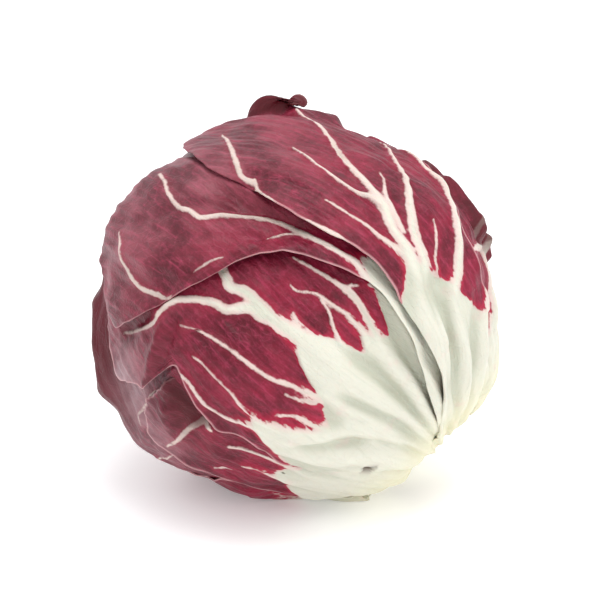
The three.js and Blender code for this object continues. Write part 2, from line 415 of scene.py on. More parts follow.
@dataclass
class Leaf:
    """A leaf of the head: its outline on its own map, its ribs and its folds.

    `azimuth` is the way that it lies round the butt, and `tip` how far along its map it reaches. `mid`,
    `low` and `high` give its middle and its half widths to the two sides, against the place along it.
    `room` is the clearance over it, `torn` how far its base is torn away, and `white` how far its pale base
    reaches from the butt, against the azimuth.
    """

    name: str
    azimuth: float
    tip: float
    mid: Pairs
    low: Pairs
    high: Pairs
    room: float = GAP
    ribs: tuple[Rib, ...] = ()
    crests: tuple[Crest, ...] = ()
    curls: tuple[Curl, ...] = ()
    points: tuple[Point, ...] = ()
    torn: float = 0.0
    white: Pairs = ((-180.0, 52.0), (180.0, 52.0))
    age: Age = Age.OLD
    steps: int = 190
    ruffle: float = 0.8
    under: list["Leaf"] = field(default_factory=list)
    above: list["Leaf"] = field(default_factory=list)

    def settle(self, under: list["Leaf"]) -> None:
        """Lays the leaf on the ones under it and finds where it leaves the core.

        Args:
            under: The leaves under it, from the innermost.
        """
        turn = math.radians(self.azimuth)
        self.under = list(under)
        self.forward = math.cos(turn) * FACE + math.sin(turn) * SIDE
        self.sideways = -math.sin(turn) * FACE + math.cos(turn) * SIDE
        sight = self.direction(np.array([BASE_SIGHT]), np.array([0.0]))
        self.base = math.degrees(math.asin((CORE_RADIUS + GAP) / self.floor(sight)[0]))
        self.middle, self.half_length = (self.base + self.tip) / 2.0, (self.tip - self.base) / 2.0

    def direction(self, along: np.ndarray, across: np.ndarray) -> np.ndarray:
        """The unit directions of places on this leaf's map."""
        s, t = np.radians(along)[..., None], np.radians(across)[..., None]
        return np.cos(t) * (np.cos(s) * BUTT + np.sin(s) * self.forward) + np.sin(t) * self.sideways

    def place(self, directions: np.ndarray) -> tuple[np.ndarray, np.ndarray]:
        """Finds places on this leaf's map.

        Args:
            directions: Their unit directions.

        Returns:
            Their places along and across it, in degrees.
        """
        across = np.degrees(np.arcsin(np.clip(directions @ self.sideways, -1.0, 1.0)))
        along = np.degrees(np.arctan2(directions @ self.forward, directions @ BUTT))
        return np.where(along < MAP_START, along + 360.0, along), across

    def half_width(self, along: np.ndarray, side: np.ndarray) -> np.ndarray:
        """Half the leaf's width on one side of the midrib, in degrees."""
        return np.where(side < 0.0, curve(self.low, along), curve(self.high, along))

    def shares(self, along: np.ndarray, across: np.ndarray) -> tuple[np.ndarray, np.ndarray, np.ndarray]:
        """Measures places against the leaf's size.

        Args:
            along: Their places along the leaf.
            across: Their places across it.

        Returns:
            How far they are from its middle, as shares of its half width and its half length, and its half
            width there.
        """
        offset = across - curve(self.mid, along)
        width = self.half_width(along, offset)
        return np.abs(offset) / width, np.abs(along - self.middle) / self.half_length, width

    def outness(self, along: np.ndarray, across: np.ndarray) -> np.ndarray:
        """How far out places are, from 0 in the middle to 1 on the outline."""
        x, y, _ = self.shares(along, across)
        return roundness(x, y)

    def inside(self, along: np.ndarray, across: np.ndarray, edge: np.ndarray | float = 1.0) -> np.ndarray:
        """Measures how far inside the rim places are.

        Args:
            along: Their places along the leaf.
            across: Their places across it.
            edge: How far out the rim is, where it isn't the plain outline.

        Returns:
            The distances in millimetres, less than 0 outside the rim.
        """
        x, y, width = self.shares(along, across)
        out = roundness(x, y)
        steep_x = (x / out) ** (SQUARENESS - 1.0) / width
        steep_y = (y / out) ** (SQUARENESS - 1.0) / self.half_length
        return np.radians((edge - out) / np.hypot(steep_x, steep_y)) * HEART_RADIUS

    def lift(self, directions: np.ndarray) -> np.ndarray:
        """Measures how much this leaf lifts whatever lies over it.

        Args:
            directions: Unit directions of the places to measure.

        Returns:
            The lift at each, in millimetres.
        """
        along, across = self.place(directions)
        x = (across - curve(self.mid, along)) / RIB_WIDTH
        rib = RIB_HEIGHT * bell(x) * (1.0 - ramp((along - self.base) / RIB_FADE))
        cover = ramp((self.inside(along, across) + REACH + DRAPE) / DRAPE)
        return cover * (LAMINA + self.room + rib)

    def floor(self, directions: np.ndarray) -> np.ndarray:
        """The height of this leaf's underside over the centre, in millimetres."""
        return heart_radius(directions) + HEART_GAP + sum(leaf.lift(directions) for leaf in self.under)

    def covered(self, directions: np.ndarray) -> np.ndarray:
        """Measures how far places lie under the leaves above.

        Args:
            directions: Their unit directions.

        Returns:
            A share for each, from 0 in the open to 1 well inside.
        """
        hidden = np.zeros(len(directions))
        for leaf in self.above:
            depth = leaf.inside(*leaf.place(directions))
            hidden = np.maximum(hidden, ramp((depth + COVER_REACH) / COVER_RUN))
        return hidden

    def fan(self) -> list[Rib]:
        """Draws ribs that fan out from the base, for a leaf that has none of its own.

        Returns:
            The ribs and their forks.
        """
        chance = np.random.default_rng(sum(map(ord, self.name)))
        start_reach, reach_gain, power = FAN.spread
        ribs = []
        for j in range(-FAN.each_side, FAN.each_side + 1):
            end = self.tip - FAN.short - FAN.shorter * abs(j) + chance.uniform(-FAN.uneven, FAN.uneven)
            along = np.linspace(self.base, end, FAN.stops)
            reach = start_reach + reach_gain * ((along - self.base) / (self.tip - self.base)) ** power
            side = np.full_like(along, float(j))
            sway = chance.uniform(-FAN.sway, FAN.sway) * np.sin(np.linspace(0.0, math.pi, FAN.stops))
            across = curve(self.mid, along) + j / FAN.margin * reach * self.half_width(along, side) + sway
            ribs.append(self.mapped(along, across, (FAN.midrib - FAN.slimmer * abs(j), *FAN.widths)))
            for turn in (-1.0, 1.0):
                start = chance.uniform(*FAN.fork)
                fork_along = self.base + (end - self.base) * (start + np.array(FAN.fork_along))
                fork_across = np.interp(fork_along, along, across) + turn * np.array(FAN.fork_across)
                ribs.append(self.mapped(fork_along, fork_across, FAN.fork_widths))
        return ribs

    def mapped(self, along: np.ndarray, across: np.ndarray, widths: tuple[float, ...]) -> Rib:
        """Draws a rib through places on this leaf's own map.

        Args:
            along: Their places along the leaf.
            across: Their places across it.
            widths: The rib's half-widths.

        Returns:
            The rib.
        """
        directions = self.direction(along, across)
        stops = zip(from_butt(directions), azimuth_of(directions))
        return Rib(tuple((float(theta), float(phi)) for theta, phi in stops), widths)


def heart_radius(directions: np.ndarray) -> np.ndarray:
    """The heart's radius in each direction, in millimetres."""
    hollow = BUTT_HOLLOW * bell(from_butt(directions) / HOLLOW_SPREAD)
    return HEART_RADIUS + swelling(directions) - hollow


# ---- The leaves, from the innermost to the outermost ----

INNER_LEAVES = 6
INNER_START, INNER_TURN = 20.0, 144.0  # the innermost leaf's azimuth, and the turn from each to the next


def inner_leaf(i: int) -> Leaf:
    """Makes one of the folded leaves next to the heart.

    Args:
        i: Its number, from 0 for the innermost.

    Returns:
        The leaf.
    """
    return Leaf(
        name=f"inner_leaf_{i + 1}",
        azimuth=INNER_START + i * INNER_TURN,
        tip=158.0,
        mid=((0, 0), (160, 6 if i % 2 else -6)),
        low=((10, 14), (60, 38), (110, 44), (160, 40)),
        high=((10, 14), (60, 40), (110, 42), (160, 36)),
        age=Age.YOUNG,
        steps=110,
    )


OUTER_LEAVES = [
    Leaf(
        name="back_leaf",
        azimuth=178.0,
        tip=160.0,
        mid=((0, 0), (160, -6)),
        low=((10, 15), (60, 38), (110, 46), (160, 40)),
        high=((10, 15), (60, 40), (110, 44), (160, 38)),
        room=0.9,
        steps=120,
    ),
    Leaf(
        name="left_leaf",
        azimuth=-78.0,
        tip=150.0,
        mid=((0, 4), (90, 8), (150, 0)),
        low=((10, 15), (60, 36), (110, 42), (150, 38)),
        high=((10, 15), (60, 38), (110, 42), (150, 40)),
        room=1.0,
        ribs=(
            Rib(((102, -53), (101, -61), (100, -68), (97, -71)), (0.15, 0.4, 0.4, 0.2)),
            Rib(((88, -83), (86, -76), (85, -69)), (0.3, 0.4, 0.2)),
            Rib(((18, -78), (60, -90), (90, -100), (125, -112)), (4.0, 2.0, 1.0, 0.3)),
            Rib(((18, -96), (60, -112), (95, -126)), (4.0, 2.0, 0.5)),
            Rib(((20, -62), (45, -66)), (3.0, 1.0)),
        ),
        crests=(
            Crest(((106, -84), (114, -79), (124, -76), (134, -78), (142, -88)), 3.2, 3.0, 4.5),
            Crest(((102, -88), (114, -84), (124, -82), (134, -84), (146, -92)), 0.3, 9.0, 9.0, 1.0),
            Crest(((112, -62), (118, -66), (126, -63), (133, -58)), -1.2, 3.0, 3.0, 0.5),
            Crest(((106, -54), (99, -60), (90, -70), (82, -78)), 1.2, 2.4, 3.0),
            Crest(((108, -62), (100, -68), (90, -78)), 1.0, 2.0, 2.4),
        ),
        steps=190,
        ruffle=1.5,
    ),
    Leaf(
        name="crown_curl_leaf",
        azimuth=128.0,
        tip=160.0,
        mid=((0, 0), (90, -4), (150, -10)),
        low=((10, 15), (60, 34), (110, 40), (160, 30)),
        high=((10, 15), (60, 36), (110, 42), (160, 34)),
        steps=150,
    ),
    Leaf(
        name="low_front_leaf",
        azimuth=-50.0,
        tip=102.0,
        mid=((0, 4), (90, -2)),
        low=((10, 14), (52, 14), (64, 15), (83, 18), (94, 18), (102, 13)),
        high=((10, 14), (40, 24), (70, 28), (92, 26), (102, 20)),
        ribs=(
            Rib(((20, -48), (45, -48), (61, -44), (66, -44), (72, -45), (76, -48)), (4, 3.4, 1.4, 0.8, 0.4)),
            Rib(((82, -46), (87, -45), (91, -41), (94, -40), (98, -40)), (0.8, 0.7, 0.5, 0.3)),
            Rib(((86, -46), (87, -52), (87, -60), (88, -67)), (0.8, 0.8, 0.6, 0.3)),
            Rib(((22, -60), (46, -57), (57, -54), (64, -52), (69, -54)), (3.5, 2.0, 0.8, 0.4, 0.2)),
            Rib(((74, -64), (72, -60), (69, -59)), (0.3, 0.4, 0.2)),
            Rib(((22, -30), (45, -36), (60, -40)), (5, 4, 1.5)),
        ),
        crests=(
            Crest(((103, -38), (98, -42), (91, -44), (84, -48)), -3.2, 4.0, 4.0, 0.9),
            Crest(((97, -50), (92, -56), (86, -60)), 1.6, 3.0, 3.0),
            Crest(((98, -45), (92, -50), (84, -54), (76, -52)), -1.0, 2.4, 2.4, 0.35),
            Crest(((41, -31), (39, -29), (37, -27)), -5.0, 1.7, 1.7, 1.0),
        ),
        white=((-90, 44), (-75, 45), (-66, 48), (-62, 52), (-57, 54), (-52, 60), (-47, 58), (-43, 54),
               (-40, 60), (-30, 56)),
        steps=190,
    ),
    Leaf(
        name="right_leaf",
        azimuth=92.0,
        tip=138.0,
        mid=((0, -2), (90, 4), (138, 8)),
        low=((10, 18), (50, 32), (100, 38), (138, 32)),
        high=((10, 15), (60, 36), (110, 42), (138, 38)),
        ribs=(
            Rib(((18, 52), (36, 60), (52, 70), (66, 84), (80, 100), (96, 110)), (5, 4, 2.6, 1.4, 0.8, 0.4)),
            Rib(((18, 66), (36, 68), (50, 68), (62, 70), (72, 76), (78, 84)), (4, 2.4, 1.4, 1.1, 0.9, 0.4)),
            Rib(((69, 60), (68, 68), (67, 76), (67, 82)), (0.4, 1.2, 1.2, 0.3)),
            Rib(((18, 88), (36, 90), (55, 98), (75, 110), (95, 124)), (5, 4, 2.4, 1.2, 0.5)),
            Rib(((18, 112), (40, 116), (60, 122), (84, 136)), (5, 3.6, 1.8, 0.6)),
        ),
        crests=(
            Crest(((66, 80), (74, 79), (84, 79), (94, 76)), 4.4, 3.0, 4.0, 0.7),
            Crest(((60, 88), (68, 86), (76, 86)), 3.6, 2.6, 3.4, 0.8),
            Crest(((84, 88), (92, 86), (100, 82)), 3.4, 3.0, 3.4, 0.5),
            Crest(((104, 84), (110, 88), (118, 91)), 3.4, 3.0, 4.0, 0.3),
            Crest(((60, 80), (66, 75), (76, 74)), -2.0, 2.4, 2.4, 0.5),
        ),
        white=((-180, 44), (50, 46), (58, 44), (66, 46), (90, 44), (180, 44)),
        steps=200,
        ruffle=1.6,
    ),
    Leaf(
        name="face_leaf",
        azimuth=-15.0,
        tip=146.0,
        mid=((0, 3), (50, 5), (100, 3), (146, -4)),
        low=((10, 13), (38, 15), (46, 23), (58, 29), (66, 28), (74, 26), (82, 31), (89, 28), (100, 23),
             (103, 24), (106, 38), (110, 40), (120, 46), (130, 43), (146, 44)),
        high=((10, 14), (50, 28), (100, 36), (146, 34)),
        room=1.0,
        ribs=(
            Rib(((16, 0), (43, 0), (56, -1), (67, -3), (76, -3), (83, -4), (88, -5), (93, -6), (98, -6),
                 (103, -6), (107, -8), (110, -7), (116, -6)), (4.0, 4.0, 3.8, 3.6, 3.1, 2.3, 1.7, 1.2)),
            Rib(((95, -7), (99, -8), (103, -13), (106, -14), (109, -16), (112, -19), (114, -22),
                 (115, -26), (115, -29), (114, -32), (115, -36), (118, -44), (121, -52)),
                 (2.2, 1.5, 1.1, 0.9, 0.7, 0.5, 0.4)),
            Rib(((40, -7), (57, -10), (68, -12), (73, -14), (77, -15), (82, -17), (88, -18), (94, -19),
                 (101, -21), (105, -23), (109, -26)), (3.0, 2.2, 1.2, 0.9, 0.6, 0.5, 0.35, 0.2)),
            Rib(((68, -13), (70, -15), (74, -17), (77, -18)), (0.8, 0.5, 0.25)),
            Rib(((62, -22), (70, -25), (75, -27), (78, -28), (82, -28), (86, -27), (92, -27), (97, -27),
                 (100, -28)), (1.8, 1.1, 0.7, 0.4, 0.3, 0.25)),
            Rib(((60, -19), (66, -20), (71, -21), (75, -24)), (1.8, 0.9, 0.5, 0.2)),
            Rib(((18, 8), (45, 8), (60, 9), (69, 11), (76, 13), (82, 14), (89, 13), (94, 12), (98, 11),
                 (102, 10)), (4.0, 4.0, 3.6, 2.8, 1.8, 1.0, 0.6, 0.3)),
            Rib(((70, 9), (79, 9), (85, 8), (90, 7), (94, 4), (97, 4)), (1.2, 0.9, 0.6, 0.4, 0.2)),
            Rib(((74, 2), (78, 3), (82, 5), (84, 6), (88, 7)), (0.9, 0.6, 0.4, 0.2)),
            Rib(((81, 14), (85, 15), (83, 18)), (0.6, 0.5, 0.2)),
            Rib(((82, -4), (86, -3), (88, -2), (91, -1)), (1.2, 0.7, 0.2)),
            Rib(((20, -6), (40, -8), (50, -11), (60, -20), (67, -29), (73, -30), (78, -32), (83, -35),
                 (87, -36), (92, -35), (96, -34), (100, -35)),
                 (4.0, 4.5, 4.5, 3.4, 2.0, 1.0, 0.7, 0.5, 0.35)),
            Rib(((20, -16), (44, -20), (56, -30), (66, -36)), (4.0, 5.0, 4.0, 1.5)),
            Rib(((18, 20), (50, 20), (66, 20), (76, 21), (82, 20)), (5, 4.0, 2.8, 1.4, 0.5)),
        ),
        crests=(
            Crest(((113, -26), (110, -31), (107, -38), (104, -46), (102, -53)), 2.6, 2.4, 2.4),
            Crest(((112, -23), (108, -30), (105, -37), (102, -42)), -1.4, 2.0, 2.0, 0.3),
            Crest(((119, -30), (118, -38), (120, -46), (122, -54)), -1.6, 3.0, 3.0, 0.4),
            Crest(((101, -36), (92, -37), (84, -43), (76, -39)), 1.6, 3.0, 4.0),
            Crest(((72, -40), (62, -43), (52, -42)), -1.0, 3.0, 3.0),
            Crest(((14, 3), (30, 4), (48, 4), (62, 3), (76, 1)), -1.9, 2.0, 2.0),
            Crest(((14, -4), (30, -4), (46, -5), (58, -7), (72, -9)), -1.7, 2.0, 2.0),
            Crest(((14, 13), (34, 14), (52, 15), (68, 16)), -1.7, 2.2, 2.2),
            Crest(((16, -12), (34, -13), (48, -17), (60, -25), (68, -30)), -1.7, 2.2, 2.2),
            Crest(((30, 24), (50, 24), (64, 24), (76, 24)), 1.6, 3.0, 3.0),
            Crest(((41, -31), (39, -29), (37, -27)), -5.0, 1.7, 1.7, 1.0),
        ),
        white=((-60, 50), (-44, 55), (-36, 68), (-29, 77), (-25, 69), (-19, 63), (-16, 66), (-13, 69),
               (-9, 80), (-3, 84), (1, 78), (5, 69), (8, 74), (11, 70), (15, 67), (20, 79), (26, 76)),
        steps=225,
        ruffle=0.8,
    ),
    Leaf(
        name="shoulder_leaf",
        azimuth=10.0,
        tip=168.0,
        mid=((20, 5), (60, 12), (85, 13), (110, 2), (130, -9), (168, -6)),
        low=((10, 10), (41, 8.5), (60, 6), (78, 4.5), (95, 6), (103, 6.5), (107, 9), (110, 13),
             (112, 18), (115, 22), (118, 25), (123, 29), (142, 40), (168, 36)),
        high=((10, 12), (60, 20), (100, 30), (140, 44), (168, 40)),
        room=0.8,
        ribs=(
            Rib(((18, 14), (45, 15), (61, 17), (71, 20), (77, 20), (82, 19), (88, 20), (93, 19),
                 (98, 18), (103, 17), (109, 16), (115, 13), (119, 10), (124, 5), (127, 0), (131, -1),
                 (135, -3), (141, -2), (145, 0), (150, 1)),
                 (4, 3, 2.2, 1.7, 1.1, 1.0, 0.9, 0.85, 0.8, 0.6, 0.4)),
            Rib(((115, -21), (116, -24), (119, -26), (124, -30), (128, -31), (134, -32), (138, -29),
                 (142, -28)), (0.15, 0.6, 0.7, 0.65, 0.6, 0.5, 0.25)),
            Rib(((116, -13), (115, -9), (114, -5), (113, -3)), (0.1, 0.3, 0.3, 0.1)),
            Rib(((110, 8), (108, 12), (105, 16), (103, 17)), (0.1, 0.3, 0.3, 0.3)),
        ),
        crests=(
            Crest(((84, 17), (96, 14), (104, 9), (109, 2), (113, -8), (116, -18)), 1.8, 3.0, 4.0),
            Crest(((112, -16), (118, -26), (126, -34), (136, -42), (146, -52)), -2.0, 7.0, 7.0),
            Crest(((108, 8), (111, 0), (115, -10), (118, -18)), -0.9, 1.4, 1.4, 0.25),
            Crest(((114, 8), (118, 0), (122, -8), (126, -14)), 0.7, 2.0, 2.0),
            Crest(((14, 18), (36, 20), (56, 24), (70, 27)), 1.2, 3.0, 3.0),
            Crest(((136, 8), (129, 12), (120, 13), (110, 16), (102, 20)), -1.8, 2.4, 2.4, 0.3),
            Crest(((140, 0), (132, 4), (124, 8), (117, 11)), -1.0, 1.3, 1.3, 0.12),
            Crest(((148, -20), (136, -15), (124, -6), (113, 6), (104, 13)), -0.9, 2.0, 2.0, 0.06),
            Crest(((142, -34), (130, -25), (119, -14), (110, 0)), 0.8, 2.5, 2.5),
            Crest(((152, -36), (144, -24), (138, -12), (134, 0)), -0.8, 1.6, 1.6, 0.06),
        ),
        white=((-60, 60), (0, 74), (16, 78), (22, 88), (28, 84), (60, 70)),
        steps=225,
        ruffle=0.9,
    ),
    Leaf(
        name="rear_leaf",
        azimuth=-160.0,
        tip=156.0,
        mid=((0, 0), (90, 5), (156, 2)),
        low=((10, 15), (60, 36), (110, 42), (156, 36)),
        high=((10, 15), (60, 34), (110, 38), (156, 34)),
        steps=150,
    ),
    Leaf(
        name="crown_leaf",
        azimuth=50.0,
        tip=168.0,
        mid=((20, -11), (66, -12), (90, -7), (108, -3), (130, 9), (150, 12)),
        low=((10, 10), (42, 11.4), (63, 14), (79, 17), (93, 22), (115, 30.4), (123, 34.3), (142, 36.5),
             (156, 30), (168, 20)),
        high=((10, 12), (40, 14), (60, 14), (70, 15), (80, 18.5), (88, 24), (95, 28.5), (105, 32), (122, 30),
              (136, 20), (148, 8), (168, 6)),
        points=(Point((152, 80), 9.0, -0.09),),
        ribs=(
            Rib(((18, 10), (42, 14), (52, 21), (65, 25), (78, 32), (84, 34), (89, 35), (94, 39),
                 (99, 41), (104, 43), (110, 46), (116, 51), (124, 61), (130, 68), (136, 77)),
                 (5, 5, 5, 4.6, 3.8, 2.6, 1.6, 1.2, 0.9, 0.7, 0.6, 0.4)),
            Rib(((90, 36), (96, 39), (99, 39), (104, 37), (109, 37), (114, 38), (121, 41), (128, 45)),
                (1.6, 1.1, 0.7, 0.6, 0.5, 0.3)),
            Rib(((72, 30), (76, 32), (81, 32), (85, 31), (90, 30), (93, 30), (100, 29), (107, 28)),
                (1.6, 1.2, 0.8, 0.5, 0.4, 0.2)),
            Rib(((90, 22), (94, 21), (97, 21), (103, 19), (108, 17), (114, 17), (121, 18), (126, 22)),
                (0.15, 0.7, 0.8, 0.8, 0.8, 0.7, 0.2)),
            Rib(((125, 20), (129, 20), (135, 25), (143, 34), (151, 46)), (0.8, 0.7, 0.5, 0.3)),
            Rib(((56, 26), (64, 30), (71, 31), (77, 36), (83, 39), (87, 42), (92, 47), (97, 54),
                 (103, 62), (107, 70), (112, 80)), (3.0, 2.4, 2.0, 1.4, 1.0, 0.7, 0.5, 0.3)),
            Rib(((86, 37), (92, 40), (97, 43), (100, 47), (103, 50)), (0.8, 0.7, 0.5, 0.2)),
            Rib(((20, 24), (50, 33), (63, 37), (68, 43), (74, 49), (80, 55), (85, 62), (90, 67),
                 (95, 69), (99, 72), (105, 76)), (4, 4, 2.6, 1.8, 1.6, 1.4, 1.1, 0.8, 0.4)),
            Rib(((72, 38), (75, 40), (78, 43), (82, 46), (84, 47)), (0.5, 0.4, 0.3, 0.15)),
            Rib(((20, 36), (44, 44), (58, 52), (68, 60), (74, 68)), (4, 3, 1.6, 0.8, 0.3)),
        ),
        crests=(
            Crest(((80, 25), (92, 21), (104, 18), (116, 14), (124, 12)), 1.3, 4.0, 5.0),
            Crest(((114, 16), (124, 12), (134, 7), (146, 0), (158, -12), (168, -40)), -2.8, 9.0, 9.0),
            Crest(((6, 10), (24, 10), (40, 12), (56, 19), (70, 24), (82, 26)), -1.7, 5.0, 5.0),
            Crest(((118, 18), (121, 14), (124, 10)), -0.8, 1.6, 1.6, 0.3),
            Crest(((14, 20), (34, 23), (50, 28), (64, 33), (74, 37)), -1.6, 2.0, 2.0),
            Crest(((14, 30), (34, 35), (50, 41), (62, 46)), -1.5, 2.2, 2.2),
            Crest(((14, 14), (34, 16), (50, 23), (62, 26)), -1.0, 1.6, 1.6),
            Crest(((72, 62), (86, 68), (98, 73), (108, 76)), 1.2, 3.5, 4.0),
            Crest(((100, 34), (116, 34), (130, 32)), 0.8, 7.0, 6.0),
            Crest(((122, 86), (132, 84), (140, 76)), 4.0, 5.0, 6.0),
        ),
        curls=(Curl((144, 79), 5.2, 7.6, 240.0),),
        white=((-180, 60), (10, 58), (15, 60), (20, 70), (27, 77), (31, 79), (35, 75), (38, 71),
               (42, 62), (45, 57), (50, 54), (60, 50), (180, 50)),
        steps=225,
        ruffle=1.0,
    ),
    Leaf(
        name="ground_leaf",
        azimuth=-106.0,
        tip=88.0,
        mid=((0, 2), (60, -2), (88, -3)),
        low=((15, 24), (40, 34), (88, 36)),
        high=((15, 22), (38, 24), (46, 30), (54, 36), (66, 34), (73, 26), (88, 22)),
        torn=13.0,
        points=(Point((75, -88), 8.0, 0.13),),
        crests=(
            Crest(((86, -104), (78, -90), (72, -79), (64, -70), (56, -69), (44, -76), (30, -84)),
                  -3.4, 8.0, 8.0),
        ),
        white=((-180, 46), (-90, 44), (-62, 46), (0, 46)),
        steps=180,
        ruffle=0.3,
    ),
]


# ---- Finishes ----

Colour = tuple[float, float, float, float]
Range = tuple[float, ...]


def linear(red: int, green: int, blue: int) -> Colour:
    """A screen colour, 0 to 255, as the linear colour that a shader takes."""
    parts = [c / 255.0 for c in (red, green, blue)]
    return (*[p / 12.92 if p <= 0.04045 else ((p + 0.055) / 1.055) ** 2.4 for p in parts], 1.0)


class Graph:
    """A node tree that is being filled."""

    def __init__(self, tree: bpy.types.NodeTree) -> None:
        """Takes the tree to fill."""
        self.tree = tree

    def node(self, kind: str, **settings: object) -> bpy.types.Node:
        """Adds a node.

        Args:
            kind: The node's type.
            settings: Its properties.

        Returns:
            The node.
        """
        made = self.tree.nodes.new(kind)
        for name, value in settings.items():
            setattr(made, name, value)
        return made

    def feed(self, socket: bpy.types.NodeSocket, value: object) -> None:
        """Links an output to a socket, or sets the socket's value.

        Args:
            socket: The socket to feed.
            value: An output or a plain value, or None to leave the socket as it is.
        """
        if isinstance(value, bpy.types.NodeSocket):
            self.tree.links.new(value, socket)
        elif value is not None:
            socket.default_value = value

    def math(self, operation: str, a: object, b: object = None, c: object = None) -> bpy.types.NodeSocket:
        """Adds a Math node.

        Args:
            operation: What it does.
            a: Its first value.
            b: Its second value.
            c: Its third value.

        Returns:
            Its result.
        """
        made = self.node("ShaderNodeMath", operation=operation)
        for socket, value in zip(made.inputs, (a, b, c)):
            self.feed(socket, value)
        return made.outputs[0]

    def span(
        self, value: object, low: float, high: float, to_low: float = 0.0, to_high: float = 1.0
    ) -> bpy.types.NodeSocket:
        """Maps a value smoothly from one range to another.

        Args:
            value: The value.
            low: Where the first range starts.
            high: Where it ends.
            to_low: What its start becomes.
            to_high: What its end becomes.

        Returns:
            The mapped value.
        """
        made = self.node("ShaderNodeMapRange", interpolation_type="SMOOTHSTEP")
        names = ("Value", "From Min", "From Max", "To Min", "To Max")
        for name, given in zip(names, (value, low, high, to_low, to_high)):
            self.feed(made.inputs[name], given)
        return made.outputs["Result"]

    def mix(self, share: object, a: object, b: object) -> bpy.types.NodeSocket:
        """Mixes two colours.

        Args:
            share: How much of the second there is, from 0 to 1.
            a: The first colour.
            b: The second colour.

        Returns:
            The mixed colour.
        """
        made = self.node("ShaderNodeMix", data_type="RGBA", blend_type="MIX", clamp_result=True)
        factor, first, second = 0, 6, 7  # the sockets that a colour mix reads, which share their names
        for socket, given in ((factor, share), (first, a), (second, b)):
            self.feed(made.inputs[socket], given)
        return made.outputs[2]

    def noise(self, vector: object, scale: float, detail: float, rough: float) -> bpy.types.NodeSocket:
        """Adds noise.

        Args:
            vector: Where it is read.
            scale: How many lumps there are to a unit.
            detail: How many finer layers it has.
            rough: How strong they are.

        Returns:
            The noise's value.
        """
        made = self.node("ShaderNodeTexNoise")
        self.feed(made.inputs["Vector"], vector)
        for name, given in (("Scale", scale), ("Detail", detail), ("Roughness", rough)):
            made.inputs[name].default_value = given
        return made.outputs["Fac"]

    def bump(self, shader: bpy.types.Node, height: object, distance: float, strength: float = 1.0) -> None:
        """Bumps a shader's surface.

        Args:
            shader: The shader.
            height: The bumps' height, from 0 to 1.
            distance: How tall a height of 1 is, in metres.
            strength: How strongly they show.
        """
        made = self.node("ShaderNodeBump")
        made.inputs["Distance"].default_value = distance
        made.inputs["Strength"].default_value = strength
        self.feed(made.inputs["Height"], height)
        self.feed(shader.inputs["Normal"], made.outputs[0])

    def effect(self, group: bpy.types.NodeTree, **given: object) -> bpy.types.NodeOutputs:
        """Places a node group.

        Args:
            group: The group.
            given: What its inputs are fed with.

        Returns:
            Its outputs.
        """
        made = self.node("ShaderNodeGroup", node_tree=group)
        for name, value in given.items():
            self.feed(made.inputs[name], value)
        return made.outputs

    def stretch(self, vector: object, scale: tuple[float, float, float]) -> bpy.types.NodeSocket:
        """Scales a vector.

        Args:
            vector: The vector.
            scale: What each of its axes is multiplied by.

        Returns:
            The scaled vector.
        """
        made = self.node("ShaderNodeVectorMath", operation="MULTIPLY")
        self.feed(made.inputs[0], vector)
        made.inputs[1].default_value = scale
        return made.outputs[0]

    def attribute(self, name: str) -> bpy.types.NodeSocket:
        """Reads a value that the mesh carries."""
        return self.node("ShaderNodeAttribute", attribute_name=name).outputs["Fac"]


def new_group(
    name: str, inputs: dict[str, str], outputs: dict[str, str]
) -> tuple[bpy.types.NodeTree, Graph]:
    """Starts a shader node group.

    Args:
        name: The group's name.
        inputs: Its input sockets, name to type.
        outputs: Its output sockets, name to type.

    Returns:
        The group, and the graph that fills it.
    """
    tree = bpy.data.node_groups.new(name, "ShaderNodeTree")
    for sockets, side in ((inputs, "INPUT"), (outputs, "OUTPUT")):
        for socket, kind in sockets.items():
            tree.interface.new_socket(name=socket, in_out=side, socket_type=kind)
    return tree, Graph(tree)


def new_material(name: str) -> tuple[bpy.types.Material, Graph, bpy.types.Node]:
    """Starts a material.

    Args:
        name: The material's name.

    Returns:
        The material, the graph that fills it, and its shader.
    """
    made = bpy.data.materials.new(name)
    made.use_nodes = True
    return made, Graph(made.node_tree), made.node_tree.nodes["Principled BSDF"]


def settings(shader: bpy.types.Node, values: dict[str, object]) -> None:
    """Sets a shader's plain values by the names of their sockets."""
    for name, value in values.items():
        shader.inputs[name].default_value = value


FLOAT, VECTOR = "NodeSocketFloat", "NodeSocketVector"


def vein_group() -> bpy.types.NodeTree:
    """The effect that turns the distance from a rib into frayed masks of rib and flush.

    Returns:
        The node group: Rib is 1 on a rib, and Flush is 1 on the stained strip beside it.
    """
    tree, g = new_group(
        "frayed ribs", {"Distance": FLOAT, "Zone": FLOAT, "Map": VECTOR}, {"Rib": FLOAT, "Flush": FLOAT}
    )
    fray_run, fray_least, fray_gain, raggedness = 14.0, 0.45, 3.4, 0.9  # millimetres
    soft_edge, flush_start, flush_end = 0.28, 0.1, 2.2  # millimetres from the rib's edge
    given = g.node("NodeGroupInput").outputs
    streak = g.noise(g.stretch(given["Map"], (1.0, 0.22, 1.0)), 0.9, 3.0, 0.6)
    ragged = g.noise(given["Map"], 0.55, 3.0, 0.6)
    near = g.span(given["Zone"], 0.0, fray_run, 1.0, 0.0)
    amount = g.math("MULTIPLY_ADD", near, fray_gain, fray_least)
    fray = g.math("MULTIPLY", g.math("SUBTRACT", streak, 0.5), amount)
    lump = g.math("MULTIPLY", g.math("SUBTRACT", ragged, 0.5), raggedness)
    distance = g.math("ADD", g.math("ADD", given["Distance"], fray), lump)
    out = g.node("NodeGroupOutput")
    g.feed(out.inputs["Rib"], g.span(distance, -soft_edge, soft_edge, 1.0, 0.0))
    g.feed(out.inputs["Flush"], g.span(distance, flush_start, flush_end, 1.0, 0.0))
    return tree


